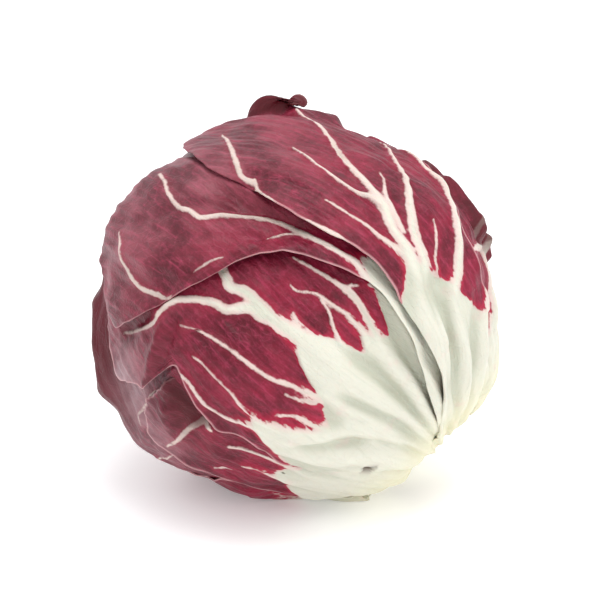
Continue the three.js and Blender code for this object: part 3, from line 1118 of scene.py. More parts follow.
def mottle_group() -> bpy.types.NodeTree:
    """The effect that clouds a surface with patches and grain.

    Returns:
        The node group: Cloud has broad patches, Grain has fine specks, and Net has the smallest veins.
    """
    tree, g = new_group("leaf mottling", {"Map": VECTOR}, {"Cloud": FLOAT, "Grain": FLOAT, "Net": FLOAT})
    given = g.node("NodeGroupInput").outputs
    cloud = g.noise(given["Map"], 0.055, 4.0, 0.6)
    grain = g.noise(g.stretch(given["Map"], (1.0, 0.55, 1.0)), 0.8, 4.0, 0.7)
    wander, wander_scale, net_width = 3.0, 0.3, 0.12
    bend = g.node("ShaderNodeTexNoise")
    g.feed(bend.inputs["Vector"], given["Map"])
    bend.inputs["Scale"].default_value = wander_scale
    bent = g.node("ShaderNodeVectorMath", operation="MULTIPLY_ADD")
    g.feed(bent.inputs[0], bend.outputs["Color"])
    bent.inputs[1].default_value = (wander, wander, 0.0)
    g.feed(bent.inputs[2], given["Map"])
    cells = g.node("ShaderNodeTexVoronoi", feature="DISTANCE_TO_EDGE", voronoi_dimensions="2D")
    g.feed(cells.inputs["Vector"], g.stretch(bent.outputs[0], (1.0, 0.7, 1.0)))
    cells.inputs["Scale"].default_value = 0.45
    out = g.node("NodeGroupOutput")
    g.feed(out.inputs["Cloud"], cloud)
    g.feed(out.inputs["Grain"], grain)
    g.feed(out.inputs["Net"], g.span(cells.outputs["Distance"], 0.0, net_width, 1.0, 0.0))
    return tree


@dataclass(frozen=True)
class LeafFinish:
    """The looks of a radicchio leaf.

    The first numbers of a range are the values of a mask where its effect starts and ends. The two after
    them are the effect's strength at its start and at its end, which are else 0 and 1.
    """

    name: str
    dark: Colour
    middle: Colour
    bright: Colour
    flush: Colour = linear(172, 28, 60)
    ivory: Colour = linear(206, 204, 190)
    # greenish grey of the painted shade in the hollows between the ribs; the fibre streaks share it
    hollow: Colour = linear(176, 178, 160)
    butter: Colour = linear(216, 211, 180)
    # greyish pink of the painted sheen of the light on the waxy skin, with some of its own bloom
    blush: Colour = linear(214, 168, 170)
    bloom_and_sheen: Colour = linear(172, 152, 156)
    # dark wine of the painted shade in creases, pockets and folded flaps, which also darkens the curled
    # margins
    fold_shade_and_dark_curl: Colour = linear(74, 3, 13)
    roughness: float = 0.4
    coat: float = 0.06
    patches: Range = (0.36, 0.64)
    specks: Range = (0.45, 0.8, 0.0, 0.55)
    light_streaks: Range = (0.5, 0.74, 0.0, 0.55)
    dark_streaks: Range = (0.5, 0.3, 0.0, 0.5)
    net: float = 0.1
    flush_fade: Range = (0.0, 16.0, 0.75, 0.15)  # over the distance from the white base
    bloom_and_sheen_haze: Range = (0.38, 0.6, 0.35, 1.0)
    pale_rim: Range = (0.0, 0.7, 0.6, 0.0)  # over the distance from the rim
    hollow_shade_strength: float = 0.7
    yellow_base: Range = (18.0, 42.0, 0.85, 0.0)  # over the angle from the butt
    fibres: Range = (0.5, 0.8, 0.0, 0.25)
    pink_edges: Range = (-1.6, 0.0, 0.0, 0.5)  # over the distance from a rib's edge
    stains: Range = (0.56, 0.78, 0.0, 0.3)
    fold_shade_strength: float = 0.9

    def material(self, veins: bpy.types.NodeTree, mottling: bpy.types.NodeTree) -> bpy.types.Material:
        """Makes the material.

        Args:
            veins: The group that masks the ribs.
            mottling: The group that clouds the blade.

        Returns:
            The finished material.
        """
        made, g, shader = new_material(self.name)
        flat = g.node("ShaderNodeUVMap", uv_map="leaf").outputs[0]
        zone, edge = g.attribute("white_zone"), g.attribute("rib_distance")
        masks = g.effect(veins, Distance=edge, Zone=zone, Map=flat)
        rib, flush = masks["Rib"], masks["Flush"]
        clouds = g.effect(mottling, Map=flat)
        cloud, grain, net = clouds["Cloud"], clouds["Grain"], clouds["Net"]
        streak = g.noise(g.stretch(flat, (1.0, 0.12, 1.0)), 0.8, 4.0, 0.65)
        fibre = g.noise(g.stretch(flat, (1.0, 0.06, 1.0)), 1.1, 3.0, 0.6)
        stain = g.noise(flat, 0.12, 3.0, 0.6)
        blade = g.mix(g.span(cloud, *self.patches), self.dark, self.middle)
        # painted sheen: a greyish haze of painted highlight, with some real bloom, over the blade
        bloom_and_sheen_haze = g.math("MULTIPLY", g.attribute("bloom_and_sheen"), g.span(cloud, *self.bloom_and_sheen_haze))
        for share, colour in (
            (g.span(grain, *self.specks), self.bright),
            (g.math("MULTIPLY", net, self.net), self.bright),
            (g.span(streak, *self.light_streaks), self.bright),
            (g.span(streak, *self.dark_streaks), self.dark),
            (g.math("MULTIPLY", flush, g.span(zone, *self.flush_fade)), self.flush),
            (bloom_and_sheen_haze, self.bloom_and_sheen),
            (g.span(g.attribute("rim"), *self.pale_rim), self.blush),
        ):
            blade = g.mix(share, blade, colour)
        # paints shade into the hollows of the pale base, more where the relief is lower
        low = g.span(g.attribute("hollow"), 0.0, 1.0)
        pale = g.mix(g.math("MULTIPLY", low, self.hollow_shade_strength), self.ivory, self.hollow)
        for share, colour in (
            (g.span(g.attribute("butt"), *self.yellow_base), self.butter),
            (g.span(fibre, *self.fibres), self.hollow),
            (g.span(edge, *self.pink_edges), self.blush),
            (g.span(stain, *self.stains), self.blush),
        ):
            pale = g.mix(share, pale, colour)
        # paints shade into creases, pockets and flaps, and darkens the curled margins
        fold_shade_share = g.math("MULTIPLY", g.attribute("fold_shade_and_dark_curl"), self.fold_shade_strength)
        g.feed(shader.inputs["Base Color"], g.mix(fold_shade_share, g.mix(rib, blade, pale), self.fold_shade_and_dark_curl))
        tone = g.math("MULTIPLY_ADD", grain, 0.2, self.roughness - 0.1)
        g.feed(shader.inputs["Roughness"], g.math("MULTIPLY_ADD", rib, 0.08, tone))
        height = g.math("MULTIPLY_ADD", net, 0.18, g.math("MULTIPLY", grain, 0.5))
        height = g.math("MULTIPLY_ADD", fibre, g.math("MULTIPLY", rib, 0.9), height)
        g.bump(shader, g.math("MULTIPLY_ADD", streak, 0.8, height), 0.0005, 0.7)
        settings(shader, {
            "Subsurface Weight": 0.12,
            "Subsurface Radius": (1.0, 0.45, 0.3),
            "Subsurface Scale": 0.0012,
            "Coat Weight": self.coat,
            "Coat Roughness": 0.35,
            "Specular IOR Level": 0.22,
        })
        return made


@dataclass(frozen=True)
class CoreFinish:
    """The looks of the core, pale on its side and browned where it was cut."""

    side: Colour = linear(236, 230, 200)
    cut: Colour = linear(206, 178, 128)
    scar: Colour = linear(150, 108, 66)
    patches: Range = (0.4, 0.62)
    browning: float = 0.7
    specks: Range = (0.55, 0.75, 0.0, 0.5)

    def material(self, mottling: bpy.types.NodeTree) -> bpy.types.Material:
        """Makes the material.

        Args:
            mottling: The group that clouds a surface.

        Returns:
            The finished material.
        """
        made, g, shader = new_material("cut core")
        solid = g.stretch(g.node("ShaderNodeTexCoord").outputs["Object"], (1 / MM, 1 / MM, 1 / MM))
        clouds = g.effect(mottling, Map=solid)
        cut = g.mix(g.span(clouds["Cloud"], *self.patches), self.cut, self.side)
        ring = g.span(g.attribute("ring"), 0.0, 1.0)
        cut = g.mix(g.math("MULTIPLY", ring, self.browning), cut, self.scar)
        cut = g.mix(g.span(clouds["Grain"], *self.specks), cut, self.scar)
        g.feed(shader.inputs["Base Color"], g.mix(g.attribute("cut_face"), self.side, cut))
        g.feed(shader.inputs["Roughness"], g.math("MULTIPLY_ADD", clouds["Grain"], 0.25, 0.42))
        g.bump(shader, clouds["Grain"], 0.0003)
        settings(shader, {
            "Subsurface Weight": 0.15,
            "Subsurface Radius": (1.0, 0.7, 0.4),
            "Subsurface Scale": 0.0015,
        })
        return made


OLD_LEAF = LeafFinish("old leaf", linear(82, 6, 25), linear(126, 20, 46), linear(166, 54, 84))
YOUNG_LEAF = LeafFinish("young leaf", linear(84, 14, 30), linear(112, 24, 44), linear(146, 52, 72))


# ---- Building ----


def write(mesh: bpy.types.Mesh, name: str, values: np.ndarray) -> None:
    """Gives each vertex of a mesh a value that its material can read."""
    mesh.attributes.new(name, "FLOAT", "POINT").data.foreach_set("value", values.astype(np.float32))


def positions(mesh: bpy.types.Mesh) -> np.ndarray:
    """Reads the places of a mesh's vertices.

    Args:
        mesh: The mesh.

    Returns:
        The places, one a row.
    """
    flat = np.zeros(len(mesh.vertices) * 3, np.float32)
    mesh.vertices.foreach_get("co", flat)
    return flat.reshape(-1, 3).astype(float)


def put(mesh: bpy.types.Mesh, places: np.ndarray) -> None:
    """Puts a mesh's vertices at places in millimetres, one a row."""
    mesh.vertices.foreach_set("co", (places * MM).astype(np.float32).ravel())


def mesh_of(shape: bmesh.types.BMesh, name: str) -> bpy.types.Mesh:
    """Makes a mesh of a shape.

    Args:
        shape: The shape, which is freed.
        name: The mesh's name.

    Returns:
        The mesh.
    """
    mesh = bpy.data.meshes.new(name)
    shape.to_mesh(mesh)
    shape.free()
    return mesh


def dressed(name: str, mesh: bpy.types.Mesh, material: bpy.types.Material) -> bpy.types.Object:
    """Makes the smooth object of a mesh.

    Args:
        name: The object's name.
        mesh: The mesh.
        material: Its finish.

    Returns:
        The object, in the scene.
    """
    mesh.shade_smooth()
    mesh.materials.append(material)
    piece = bpy.data.objects.new(name, mesh)
    bpy.context.scene.collection.objects.link(piece)
    return piece


def smooth_least(parts: list[np.ndarray], soft: float) -> np.ndarray:
    """Finds the least of several distances, rounded where two of them meet.

    Args:
        parts: The distances, each with one value for a place.
        soft: How far the rounding reaches.

    Returns:
        One value for each place.
    """
    stack = np.stack(parts)
    least = stack.min(axis=0)
    return least - soft * np.log(np.exp(-(stack - least) / soft).sum(axis=0))


@dataclass(frozen=True)
class Skin:
    """How a leaf's surface is made, in millimetres where nothing else is said.

    A kind of lump is its height and its size. A run is the length over which something grows to its full.
    """

    grid: float = 0.92  # rows of the leaf's grid to each of its columns
    inset: float = 0.02  # what the outline is drawn in by, as a share of the leaf
    bites: Pairs = ((0.022, 0.5), (0.01, 0.16))  # raggedness of the outline, as shares of the leaf
    bite_radius: float = 3.0  # of the ring on which the bites are read
    further: float = 1.01  # how much further out the way to the rim is looked for
    top: float = 1.0  # from a leaf's underside to its upper face
    tucks: tuple[tuple[float, float, float], ...] = ((0.5, -2.0, 4.0), (0.9, 2.0, 8.0))  # depth, start, run
    deepest_tuck: float = 9.0
    joined: tuple[float, float] = (24.0, 34.0)  # where the bases stop being one, and the run, in degrees
    wrinkle: float = 0.6
    wrinkle_size: float = 2.2  # in degrees, as is all of the leaf's map
    wrinkle_draw: float = 0.22  # how slowly wrinkles change along the leaf
    crumples: Pairs = ((1.6, 4.5), (0.8, 2.2))
    crumple_run: float = 4.0
    clearance: float = 0.05  # the least height over the surface below, at the rim
    clearance_gain: float = 0.1
    clearance_run: float = 2.0
    least_rib: float = 0.12
    tallest_rib: float = 2.0
    rib_height: tuple[float, float] = (0.5, 0.3)  # share of its half-width, and what is added
    rib_spread: tuple[float, float] = (0.95, 0.5)  # share of its half-width, and what is added
    white_waves: float = 2.5  # how the edge of the white base wavers, in degrees
    white_wave_size: float = 9.0
    rib_blend: float = 0.55
    blade_start: float = 0.5  # how far from a rib's edge the blade is full
    blade_run: float = 2.0
    puckers: Pairs = ((0.55, 13.0), (0.32, 5.5))
    puff: float = 0.7  # how the blade swells between the ribs
    puff_run: float = 5.0
    swell: Pairs = ((0.25, 20.0),)
    spokes: Pairs = ((1.7, 5.5), (0.5, 2.2))  # valleys that run out from the butt
    spoke_ring: float = 40.0  # the radius at which the spokes are read
    spoke_draw: float = 0.2  # how slowly they change away from the butt
    ruffle_run: float = 5.0
    ruffle_size: float = 8.0
    ruffle_base: float = 0.5
    ruffle_most: float = 1.5
    covered: float = 0.12  # what is left of the relief under another leaf
    hollow_shade_top: float = 1.2  # the relief below which shade is painted into a hollow
    hollow_shade_run: float = 1.7
    fold_shade_blend: float = 0.3
    dark_curl_wider: float = 1.3  # how much wider than its curl the margin is darkened
    dark_curl_run: float = 3.0
    root_start: float = 20.0  # where a leaf's base starts to thin, in degrees from the butt
    root_run: float = 40.0
    thin_rim: float = 0.5  # the rim's thickness, as a share of the blade's
    thin_run: float = 3.0


SKIN = Skin()


@dataclass
class Head:
    """The whole head: its place, and the leaves, heart and core that make it up."""

    blade: float = 0.8
    rib_thickness: float = 2.4
    ribbed: float = 2.0  # the relief at which a leaf's base has a rib's full thickness
    heart_steps: int = 6
    heart_seed: int = 7
    folds: float = 60.0  # the turn from one folded leaf of the heart to the next, in degrees
    fold_height: float = 1.1
    fold_edge: float = 0.9  # the share of a fold over which it rises
    fold_twist: float = 1.1  # how the folds wind round the heart
    heart_lift: float = 0.2
    heart_lumps: Pairs = ((0.35, 9.0),)
    heart_flush: tuple[float, float, float] = (2.0, 3.0, 12.0)  # from the ribs, least, gain and patch size
    fold_width: float = 20.0  # from a fold's rim to the next, where its colours are read
    heart_white: float = 50.0  # how far its white base reaches, in degrees from the butt
    socket_reach: float = 60.0  # how far from the butt the core's socket may be, in degrees
    socket_depth: float = 0.55  # the socket's floor, as a share of the heart's radius
    leaves: list[Leaf] = field(default_factory=list)

    def __post_init__(self) -> None:
        """Finds the head's centre from its heart, and stacks the leaves."""
        for leaf in [*(inner_leaf(i) for i in range(INNER_LEAVES)), *OUTER_LEAVES]:
            leaf.settle(self.leaves)
            self.leaves.append(leaf)
        for i, leaf in enumerate(self.leaves):
            leaf.above = self.leaves[i + 1 :]
        shape = bmesh.new()
        bmesh.ops.create_icosphere(shape, subdivisions=5, radius=1.0)
        around = unit(np.array([vertex.co for vertex in shape.verts]))
        shape.free()
        heart = around * (heart_radius(around) * self.pressed(around))[:, None] * FIGURE
        low, high = (np.array(corner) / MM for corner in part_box("heart"))
        self.centre = (low + high - heart.min(axis=0) - heart.max(axis=0)) / 2.0

    def pressed(self, directions: np.ndarray) -> np.ndarray:
        """Measures how the surface below presses every layer in.

        Args:
            directions: Unit directions of the places to measure.

        Returns:
            What is left of the radius at each, as a share.
        """
        towards = -directions[:, 2]
        top = self.leaves[-1].floor(directions) + LAMINA
        return np.where(towards > 0.0, np.minimum(1.0, REST_HEIGHT / np.maximum(towards * top, TINY)), 1.0)

    def sheet(self, leaf: Leaf, x: np.ndarray, y: np.ndarray) -> tuple[np.ndarray, ...]:
        """The smooth sheet of a leaf, before its ribs and folds.

        Args:
            leaf: The leaf.
            x: Places across its outline, from -1 to 1.
            y: Places along it, from -1 to 1.

        Returns:
            The unit directions, the radii of its upper face, and its map places along and across.
        """
        along = leaf.middle + leaf.half_length * y + leaf.torn * (1.0 - y) / 2.0
        across = curve(leaf.mid, along) + leaf.half_width(along, x) * x
        directions = leaf.direction(along, across)
        stacked = leaf.floor(directions) + SKIN.top
        sunk = np.zeros(len(directions))
        for other in leaf.above:
            depth = other.inside(*other.place(directions))
            sunk = sunk + sum(deep * ramp((depth - start) / run) for deep, start, run in SKIN.tucks)
        angle = from_butt(directions)
        joined = curve(BUTT_SHAPE, angle) + swelling(directions) - np.minimum(sunk, SKIN.deepest_tuck)
        share = 1.0 - ramp((angle - SKIN.joined[0]) / SKIN.joined[1])
        return directions, stacked * (1.0 - share) + joined * share, along, across

    def leaf_piece(self, leaf: Leaf, material: bpy.types.Material) -> bpy.types.Object:
        """Builds one leaf.

        Args:
            leaf: The leaf.
            material: Its finish.

        Returns:
            The leaf's object, with its thickness as a live modifier.
        """
        shape = bmesh.new()
        rows = int(leaf.steps * SKIN.grid)
        bmesh.ops.create_grid(shape, x_segments=leaf.steps, y_segments=rows, size=1.0)
        mesh = mesh_of(shape, leaf.name)
        u, v, _ = positions(mesh).T
        noise = Noise(sum(map(ord, leaf.name)))
        square = np.maximum(np.abs(u), np.abs(v))
        out = roundness(u, v)
        x, y = u * square / out, v * square / out
        ring = unit(np.stack([x, y, np.zeros_like(x)], axis=1)) * SKIN.bite_radius
        middle = np.maximum(square, TINY)
        edge_place, _, _, _ = self.sheet(leaf, x / middle, y / middle)
        drawn = sum(point.pull(edge_place) for point in leaf.points)
        draw = SKIN.inset - noise.lumps(ring, SKIN.bites) - drawn
        _, _, *edge = self.sheet(leaf, x / middle * (1.0 - draw), y / middle * (1.0 - draw))
        shrink = 1.0 - square**4 * draw
        x, y = x * shrink, y * shrink
        directions, radius, along, across = self.sheet(leaf, x, y)
        further, wider, _, _ = self.sheet(leaf, x * SKIN.further, y * SKIN.further)
        rim = leaf.inside(along, across, leaf.outness(*edge))
        relief, distance, zone = self.relief(leaf, directions, rim, noise)
        place = directions * (radius + relief)[:, None]
        outward = unit(further * (wider + relief)[:, None] - place)
        normal = unit(directions - (directions * outward).sum(axis=1)[:, None] * outward)
        inner = np.maximum(rim, 0.0)
        crumple = noise.lumps(directions * SKIN_RADIUS, SKIN.crumples)
        place = self.rolled(leaf, directions, place, outward, normal, inner, crumple)
        place = place * self.pressed(unit(place))[:, None] * FIGURE + self.centre
        raised = SKIN.clearance_gain * inner.clip(0.0, SKIN.clearance_run) / SKIN.clearance_run
        place[:, 2] = np.maximum(place[:, 2], SKIN.clearance + raised)
        put(mesh, place)
        write(mesh, "rib_distance", distance)
        write(mesh, "white_zone", zone)
        write(mesh, "rim", inner + bells(FADED_RIMS, directions))
        write(mesh, "butt", from_butt(directions))
        # painted shade in the hollows, more where the relief is lower
        write(mesh, "hollow", np.clip((SKIN.hollow_shade_top - relief) / SKIN.hollow_shade_run, 0.0, 1.0))
        # painted shade in creases, pockets and flaps, and the darkened curled margins
        write(mesh, "fold_shade_and_dark_curl", self.fold_shade_and_dark_curl(leaf, directions, rim))
        # where the painted sheen, with some real bloom, lies over the head
        write(mesh, "bloom_and_sheen", bells(SHEEN_AND_BLOOM_SPOTS, directions))
        self.flatten(mesh, across, along)
        return self.thicken(leaf, mesh, material, relief, rim, directions)

    def fold_shade_and_dark_curl(self, leaf: Leaf, directions: np.ndarray, rim: np.ndarray) -> np.ndarray:
        """Measures how much painted shade darkens a leaf's creases, pockets and flaps, and how dark its
        curled margins are.

        Args:
            leaf: The leaf.
            directions: Unit directions of its places.
            rim: How far inside the rim they are.

        Returns:
            A share for each place, from 0 to 1.
        """
        fold_shade_and_dark_curl = np.zeros(len(directions))
        for crest in leaf.crests:
            fold_shade_and_dark_curl = fold_shade_and_dark_curl + crest.dark * crest.share(directions) ** SKIN.fold_shade_blend
        for curl in leaf.curls:
            fold_shade_and_dark_curl = fold_shade_and_dark_curl + curl.share(directions, SKIN.dark_curl_wider) * ramp((curl.depth - rim) / SKIN.dark_curl_run)
        return np.clip(fold_shade_and_dark_curl, 0.0, 1.0)

    def relief(
        self, leaf: Leaf, directions: np.ndarray, rim: np.ndarray, noise: Noise
    ) -> tuple[np.ndarray, ...]:
        """The height of a leaf's ribs, puckers and folds over its smooth sheet.

        Args:
            leaf: The leaf.
            directions: Unit directions of its places.
            rim: How far inside the rim they are.
            noise: The leaf's own noise.

        Returns:
            The relief, the distance from the nearest rib's edge, and the distance from the white base.
        """
        places, angle = directions * SKIN_RADIUS, from_butt(directions)
        heights, distances = [], []
        for rib in leaf.ribs or leaf.fan():
            away, share, _ = rib.course().measure(directions)
            stops = tuple(zip(np.linspace(0.0, 1.0, len(rib.widths)), rib.widths))
            width = np.maximum(curve(stops, share), SKIN.least_rib)
            distances.append(away - width)
            tall = np.minimum(SKIN.tallest_rib, SKIN.rib_height[0] * width + SKIN.rib_height[1])
            heights.append(tall * bell(away / (SKIN.rib_spread[0] * width + SKIN.rib_spread[1])))
        boundary = curve(leaf.white, azimuth_of(directions))
        boundary = boundary + SKIN.white_waves * noise(places, SKIN.white_wave_size)
        zone = np.radians(angle - boundary) * SKIN_RADIUS
        distance = smooth_least([*distances, zone], SKIN.rib_blend)
        blade = 1.0 - ramp((SKIN.blade_start - distance) / SKIN.blade_run)
        along, across = leaf.place(directions)
        drawn_out = np.stack([across, along * SKIN.wrinkle_draw, np.zeros_like(along)], axis=1)
        wrinkle = SKIN.wrinkle * noise(drawn_out, SKIN.wrinkle_size)
        puff = SKIN.puff * (1.0 - bell(np.maximum(distance, 0.0) / SKIN.puff_run))
        turn = np.radians(azimuth_of(directions))
        spokes = [SKIN.spoke_ring * np.cos(turn), SKIN.spoke_ring * np.sin(turn), SKIN.spoke_draw * angle]
        valleys = noise.lumps(np.stack(spokes, axis=1), SKIN.spokes)
        ruffle = leaf.ruffle * np.exp(-np.maximum(rim, 0.0) / SKIN.ruffle_run)
        ruffle = ruffle * (SKIN.ruffle_base + noise(places, SKIN.ruffle_size)).clip(0.0, SKIN.ruffle_most)
        relief = np.stack(heights).max(axis=0) + noise.lumps(places, SKIN.swell) + ruffle
        relief = relief + blade * (puff + noise.lumps(places, SKIN.puckers) + wrinkle)
        relief = relief + (1.0 - blade) * valleys
        relief = relief + sum(crest.height * crest.share(directions) for crest in leaf.crests)
        shown = SKIN.covered + (1.0 - SKIN.covered) * (1.0 - leaf.covered(directions))
        return relief * shown + bells(BULGES, directions), distance, zone

    def rolled(
        self,
        leaf: Leaf,
        directions: np.ndarray,
        place: np.ndarray,
        outward: np.ndarray,
        normal: np.ndarray,
        rim: np.ndarray,
        crumple: np.ndarray,
    ) -> np.ndarray:
        """Rolls back the margins that curl.

        Args:
            leaf: The leaf.
            directions: Unit directions of its places.
            place: The places, in millimetres from the head's centre.
            outward: At each place, the unit direction towards the rim.
            normal: At each place, the unit direction out of the head.
            rim: How far inside the rim each place is.
            crumple: How far a rolled margin stands out of its roll at each place, in millimetres.

        Returns:
            The places once the margins are rolled.
        """
        for curl in leaf.curls:
            share = curl.share(directions)
            angle = np.maximum(math.radians(curl.turn) * share, STRAIGHT)
            length = np.maximum(curl.depth - rim, 0.0)
            arc = angle * length / curl.depth
            bend = curl.depth / angle
            shift = length - bend * np.sin(arc)
            rise = bend * (1.0 - np.cos(arc)) + crumple * share * ramp(length / SKIN.crumple_run)
            place = place - outward * shift[:, None] + normal * rise[:, None]
        return place

    def flatten(self, mesh: bpy.types.Mesh, across: np.ndarray, along: np.ndarray) -> None:
        """Gives a mesh the map of its own surface, in millimetres.

        Args:
            mesh: The mesh.
            across: Each vertex's place across the map, in degrees of the head.
            along: Its place along the map.
        """
        layer = mesh.uv_layers.new(name="leaf")
        corners = np.zeros(len(mesh.loops), int)
        mesh.loops.foreach_get("vertex_index", corners)
        spread = np.radians(np.stack([across, along], axis=1)) * SKIN_RADIUS
        layer.data.foreach_set("uv", spread[corners].astype(np.float32).ravel())

    def thicken(
        self,
        leaf: Leaf,
        mesh: bpy.types.Mesh,
        material: bpy.types.Material,
        relief: np.ndarray,
        rim: np.ndarray,
        directions: np.ndarray,
    ) -> bpy.types.Object:
        """Makes a leaf's object and gives its blade, ribs and margin their thicknesses.

        Args:
            leaf: The leaf.
            mesh: Its upper face.
            material: Its finish.
            relief: The height of its ribs and folds.
            rim: How far inside the rim each vertex is.
            directions: Unit directions of the vertices.

        Returns:
            The leaf's object.
        """
        piece = dressed(f"{leaf.name}_blade", mesh, material)
        base = 1.0 - ramp((from_butt(directions) - SKIN.root_start) / SKIN.root_run)
        full = self.blade + (self.rib_thickness - self.blade) * base * ramp(relief / self.ribbed)
        thin = full * (SKIN.thin_rim + (1.0 - SKIN.thin_rim) * ramp(rim / SKIN.thin_run))
        group = piece.vertex_groups.new(name="thickness")
        weights = np.round(thin / self.rib_thickness, 2)
        for share in np.unique(weights):
            group.add(np.flatnonzero(weights == share).tolist(), float(share), "REPLACE")
        wall = piece.modifiers.new("thickness", "SOLIDIFY")
        wall.thickness = self.rib_thickness * MM
        wall.offset = -1.0
        wall.vertex_group = group.name
        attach(piece, "root")
        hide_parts(leaf.name)
        return piece

    def heart_piece(self, material: bpy.types.Material) -> bpy.types.Object:
        """Builds the heart: a ball of folded young leaves whose margins wind over it.

        Args:
            material: Its finish.

        Returns:
            The heart's object.
        """
        shape = bmesh.new()
        bmesh.ops.create_icosphere(shape, subdivisions=self.heart_steps, radius=1.0)
        mesh = mesh_of(shape, "heart")
        directions = unit(positions(mesh))
        angle, noise = from_butt(directions), Noise(self.heart_seed)
        turn = azimuth_of(directions) + self.fold_twist * angle
        fold = np.mod(turn / self.folds, 1.0)
        rise = ramp(fold / self.fold_edge) * (1.0 - ramp((fold - self.fold_edge) / (1.0 - self.fold_edge)))
        step = self.fold_height * rise * np.sin(np.radians(angle))
        lumps = noise.lumps(directions * SKIN_RADIUS, self.heart_lumps)
        radius = heart_radius(directions) + self.heart_lift + step + lumps
        beside = np.linalg.norm(directions - (directions @ BUTT)[:, None] * BUTT, axis=1)
        in_socket = (angle < self.socket_reach) & (beside * radius < CORE_RADIUS + GAP)
        deep = np.where(in_socket, self.socket_depth, 1.0)
        put(mesh, directions * (radius * deep * self.pressed(directions))[:, None] * FIGURE + self.centre)
        least, gain, size = self.heart_flush
        write(mesh, "rib_distance", least + gain * np.abs(noise(directions * SKIN_RADIUS, size)))
        write(mesh, "white_zone", np.radians(angle - self.heart_white) * SKIN_RADIUS)
        write(mesh, "rim", fold * self.fold_width)
        write(mesh, "butt", angle)
        for name in ("hollow", "fold_shade_and_dark_curl", "bloom_and_sheen"):
            write(mesh, name, np.zeros(len(directions)))
        self.flatten(mesh, turn, angle)
        piece = dressed("heart_ball", mesh, material)
        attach(piece, "root")
        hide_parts("heart")
        return piece


@dataclass
class Core:
    """The core, with its cut face at the butt. Lengths along it are from the head's centre."""

    centre: np.ndarray
    deep_radius: float = 6.0
    inner_end: float = 16.0
    face: float = 58.0
    sides: int = 96
    rows: int = 40
    rings: tuple[float, ...] = (0.9, 2.2, 2.2, 2.0)  # the rings of faces on the cut, from its edge
    grooves: float = 7.0
    groove_depth: float = 0.35
    groove_twist: float = 0.05
    grooved: tuple[float, float] = (30.0, 20.0)  # where the grooves start, and over what length they deepen
    lumps: Pairs = ((0.25, 5.0),)
    dome: float = 0.8
    cut_lumps: Pairs = ((0.2, 3.0),)
    browned: tuple[float, float] = (6.8, 1.2)  # the browned ring's radius and half its width
    level: float = 0.01  # places less far apart than this along the core are level with each other
    seed: int = 11

    def piece(self, material: bpy.types.Material) -> bpy.types.Object:
        """Builds the core.

        Args:
            material: Its finish.

        Returns:
            The core's object.
        """
        shape = bmesh.new()
        bmesh.ops.create_cone(
            shape, cap_ends=True, cap_tris=False, segments=self.sides, radius1=self.deep_radius,
            radius2=CORE_RADIUS, depth=self.face - self.inner_end,
        )
        walls = [e for e in shape.edges if abs(e.verts[0].co.z - e.verts[1].co.z) > self.level]
        bmesh.ops.subdivide_edges(shape, edges=walls, cuts=self.rows)
        top = max(shape.faces, key=lambda f: f.calc_center_median().z)
        for ring in self.rings:
            bmesh.ops.inset_region(shape, faces=[top], thickness=ring, depth=0.0)
        mesh = mesh_of(shape, "core")
        local = positions(mesh)
        x, y, z = local.T
        height = z + (self.face + self.inner_end) / 2.0
        wide, turn, noise = np.hypot(x, y), np.arctan2(y, x), Noise(self.seed)
        cut = (height > self.face - self.level).astype(float)
        groove = self.groove_depth * np.sin(turn * self.grooves + height * self.groove_twist)
        groove = groove + noise.lumps(local, self.lumps)
        deepening = ramp((height - self.grooved[0]) / self.grooved[1])
        swell = 1.0 + (1.0 - cut) * groove * deepening / CORE_RADIUS
        bulge = noise.lumps(local, self.cut_lumps) - self.dome * (wide / CORE_RADIUS) ** 2
        axis = (height + cut * bulge)[:, None] * BUTT
        place = axis + (x * swell)[:, None] * FACE - (y * swell)[:, None] * SIDE
        put(mesh, place * FIGURE + self.centre)
        write(mesh, "cut_face", cut)
        write(mesh, "ring", bell((wide - self.browned[0]) / self.browned[1]))
        piece = dressed("core_stem", mesh, material)
        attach(piece, "root")
        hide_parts("core")
        return piece


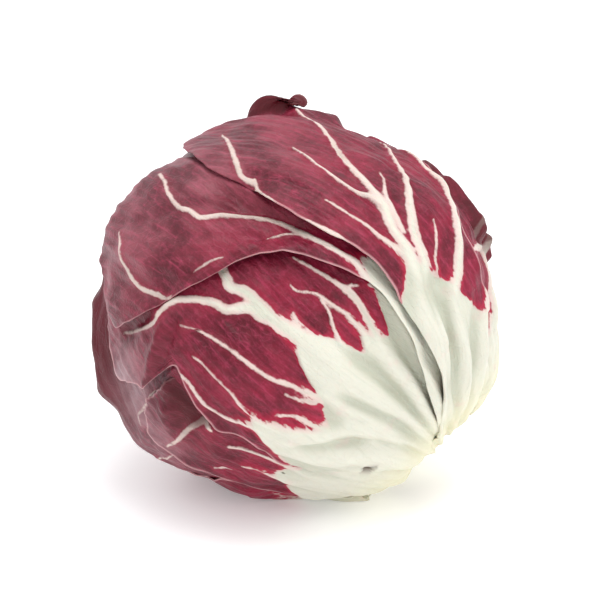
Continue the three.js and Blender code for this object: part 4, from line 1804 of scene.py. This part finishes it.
@dataclass
class Studio:
    """The plain floor, the soft lights and the camera."""

    floor_size: float = 6.0
    distance: float = 0.513
    lens: float = 100.0
    look_at: tuple[float, float, float] = (0.0009, 0.0, 0.0588)

    def build(self) -> None:
        """Builds the studio."""
        self.floor()
        self.lights()
        self.camera()

    def floor(self) -> None:
        """Lays the floor."""
        shape = bmesh.new()
        bmesh.ops.create_grid(shape, x_segments=1, y_segments=1, size=self.floor_size / 2.0)
        mesh = mesh_of(shape, "floor")
        material, _, shader = new_material("pale floor")
        settings(shader, {
            "Base Color": (0.985, 0.985, 0.985, 1.0),
            "Emission Color": (1.0, 1.0, 1.0, 1.0),
            "Emission Strength": 0.2,
            "Roughness": 0.7,
            "Specular IOR Level": 0.2,
        })
        mesh.materials.append(material)
        floor = bpy.data.objects.new("floor", mesh)
        bpy.context.scene.collection.objects.link(floor)

    def lights(self) -> None:
        """Hangs the soft lights."""
        world = bpy.data.worlds.new("studio")
        world.use_nodes = True
        settings(world.node_tree.nodes["Background"], {"Color": (0.98, 0.99, 1.0, 1.0), "Strength": 1.08})
        bpy.context.scene.world = world
        for name, place, size, power in (
            ("key", (0.08, -0.1, 0.84), 0.6, 3.2),
            ("fill", (0.55, -0.4, 0.45), 0.5, 0.9),
        ):
            lamp = bpy.data.lights.new(name, "AREA")
            lamp.shape = "DISK"
            lamp.size = size
            lamp.energy = power
            light = bpy.data.objects.new(name, lamp)
            light.location = place
            aim = Vector(self.look_at) - Vector(place)
            light.rotation_euler = aim.to_track_quat("-Z", "Y").to_euler()
            bpy.context.scene.collection.objects.link(light)
        bpy.context.scene.view_settings.view_transform = "Standard"

    def camera(self) -> None:
        """Sets up the camera."""
        lens = bpy.data.cameras.new("camera")
        lens.lens = self.lens
        camera = bpy.data.objects.new("camera", lens)
        lift = math.radians(FACE_LIFT)
        away = Vector((0.0, -math.cos(lift), math.sin(lift))) * self.distance
        camera.location = Vector(self.look_at) + away
        camera.rotation_euler = (-away).to_track_quat("-Z", "Y").to_euler()
        bpy.context.scene.collection.objects.link(camera)
        bpy.context.scene.camera = camera


def main() -> None:
    """Builds the head and its studio, and logs how many faces each piece has."""
    logging.basicConfig(level=logging.INFO, format="%(message)s")
    Studio().build()
    veins, mottling = vein_group(), mottle_group()
    finishes = {Age.OLD: OLD_LEAF.material(veins, mottling), Age.YOUNG: YOUNG_LEAF.material(veins, mottling)}
    head = Head()
    core = Core(head.centre).piece(CoreFinish().material(mottling))
    pieces = [core, head.heart_piece(finishes[Age.YOUNG])]
    for leaf in head.leaves:
        pieces.append(head.leaf_piece(leaf, finishes[leaf.age]))
    for piece in pieces:
        log.info("%s: %d faces", piece.name, len(piece.data.polygons))


if __name__ == "__main__":
    main()
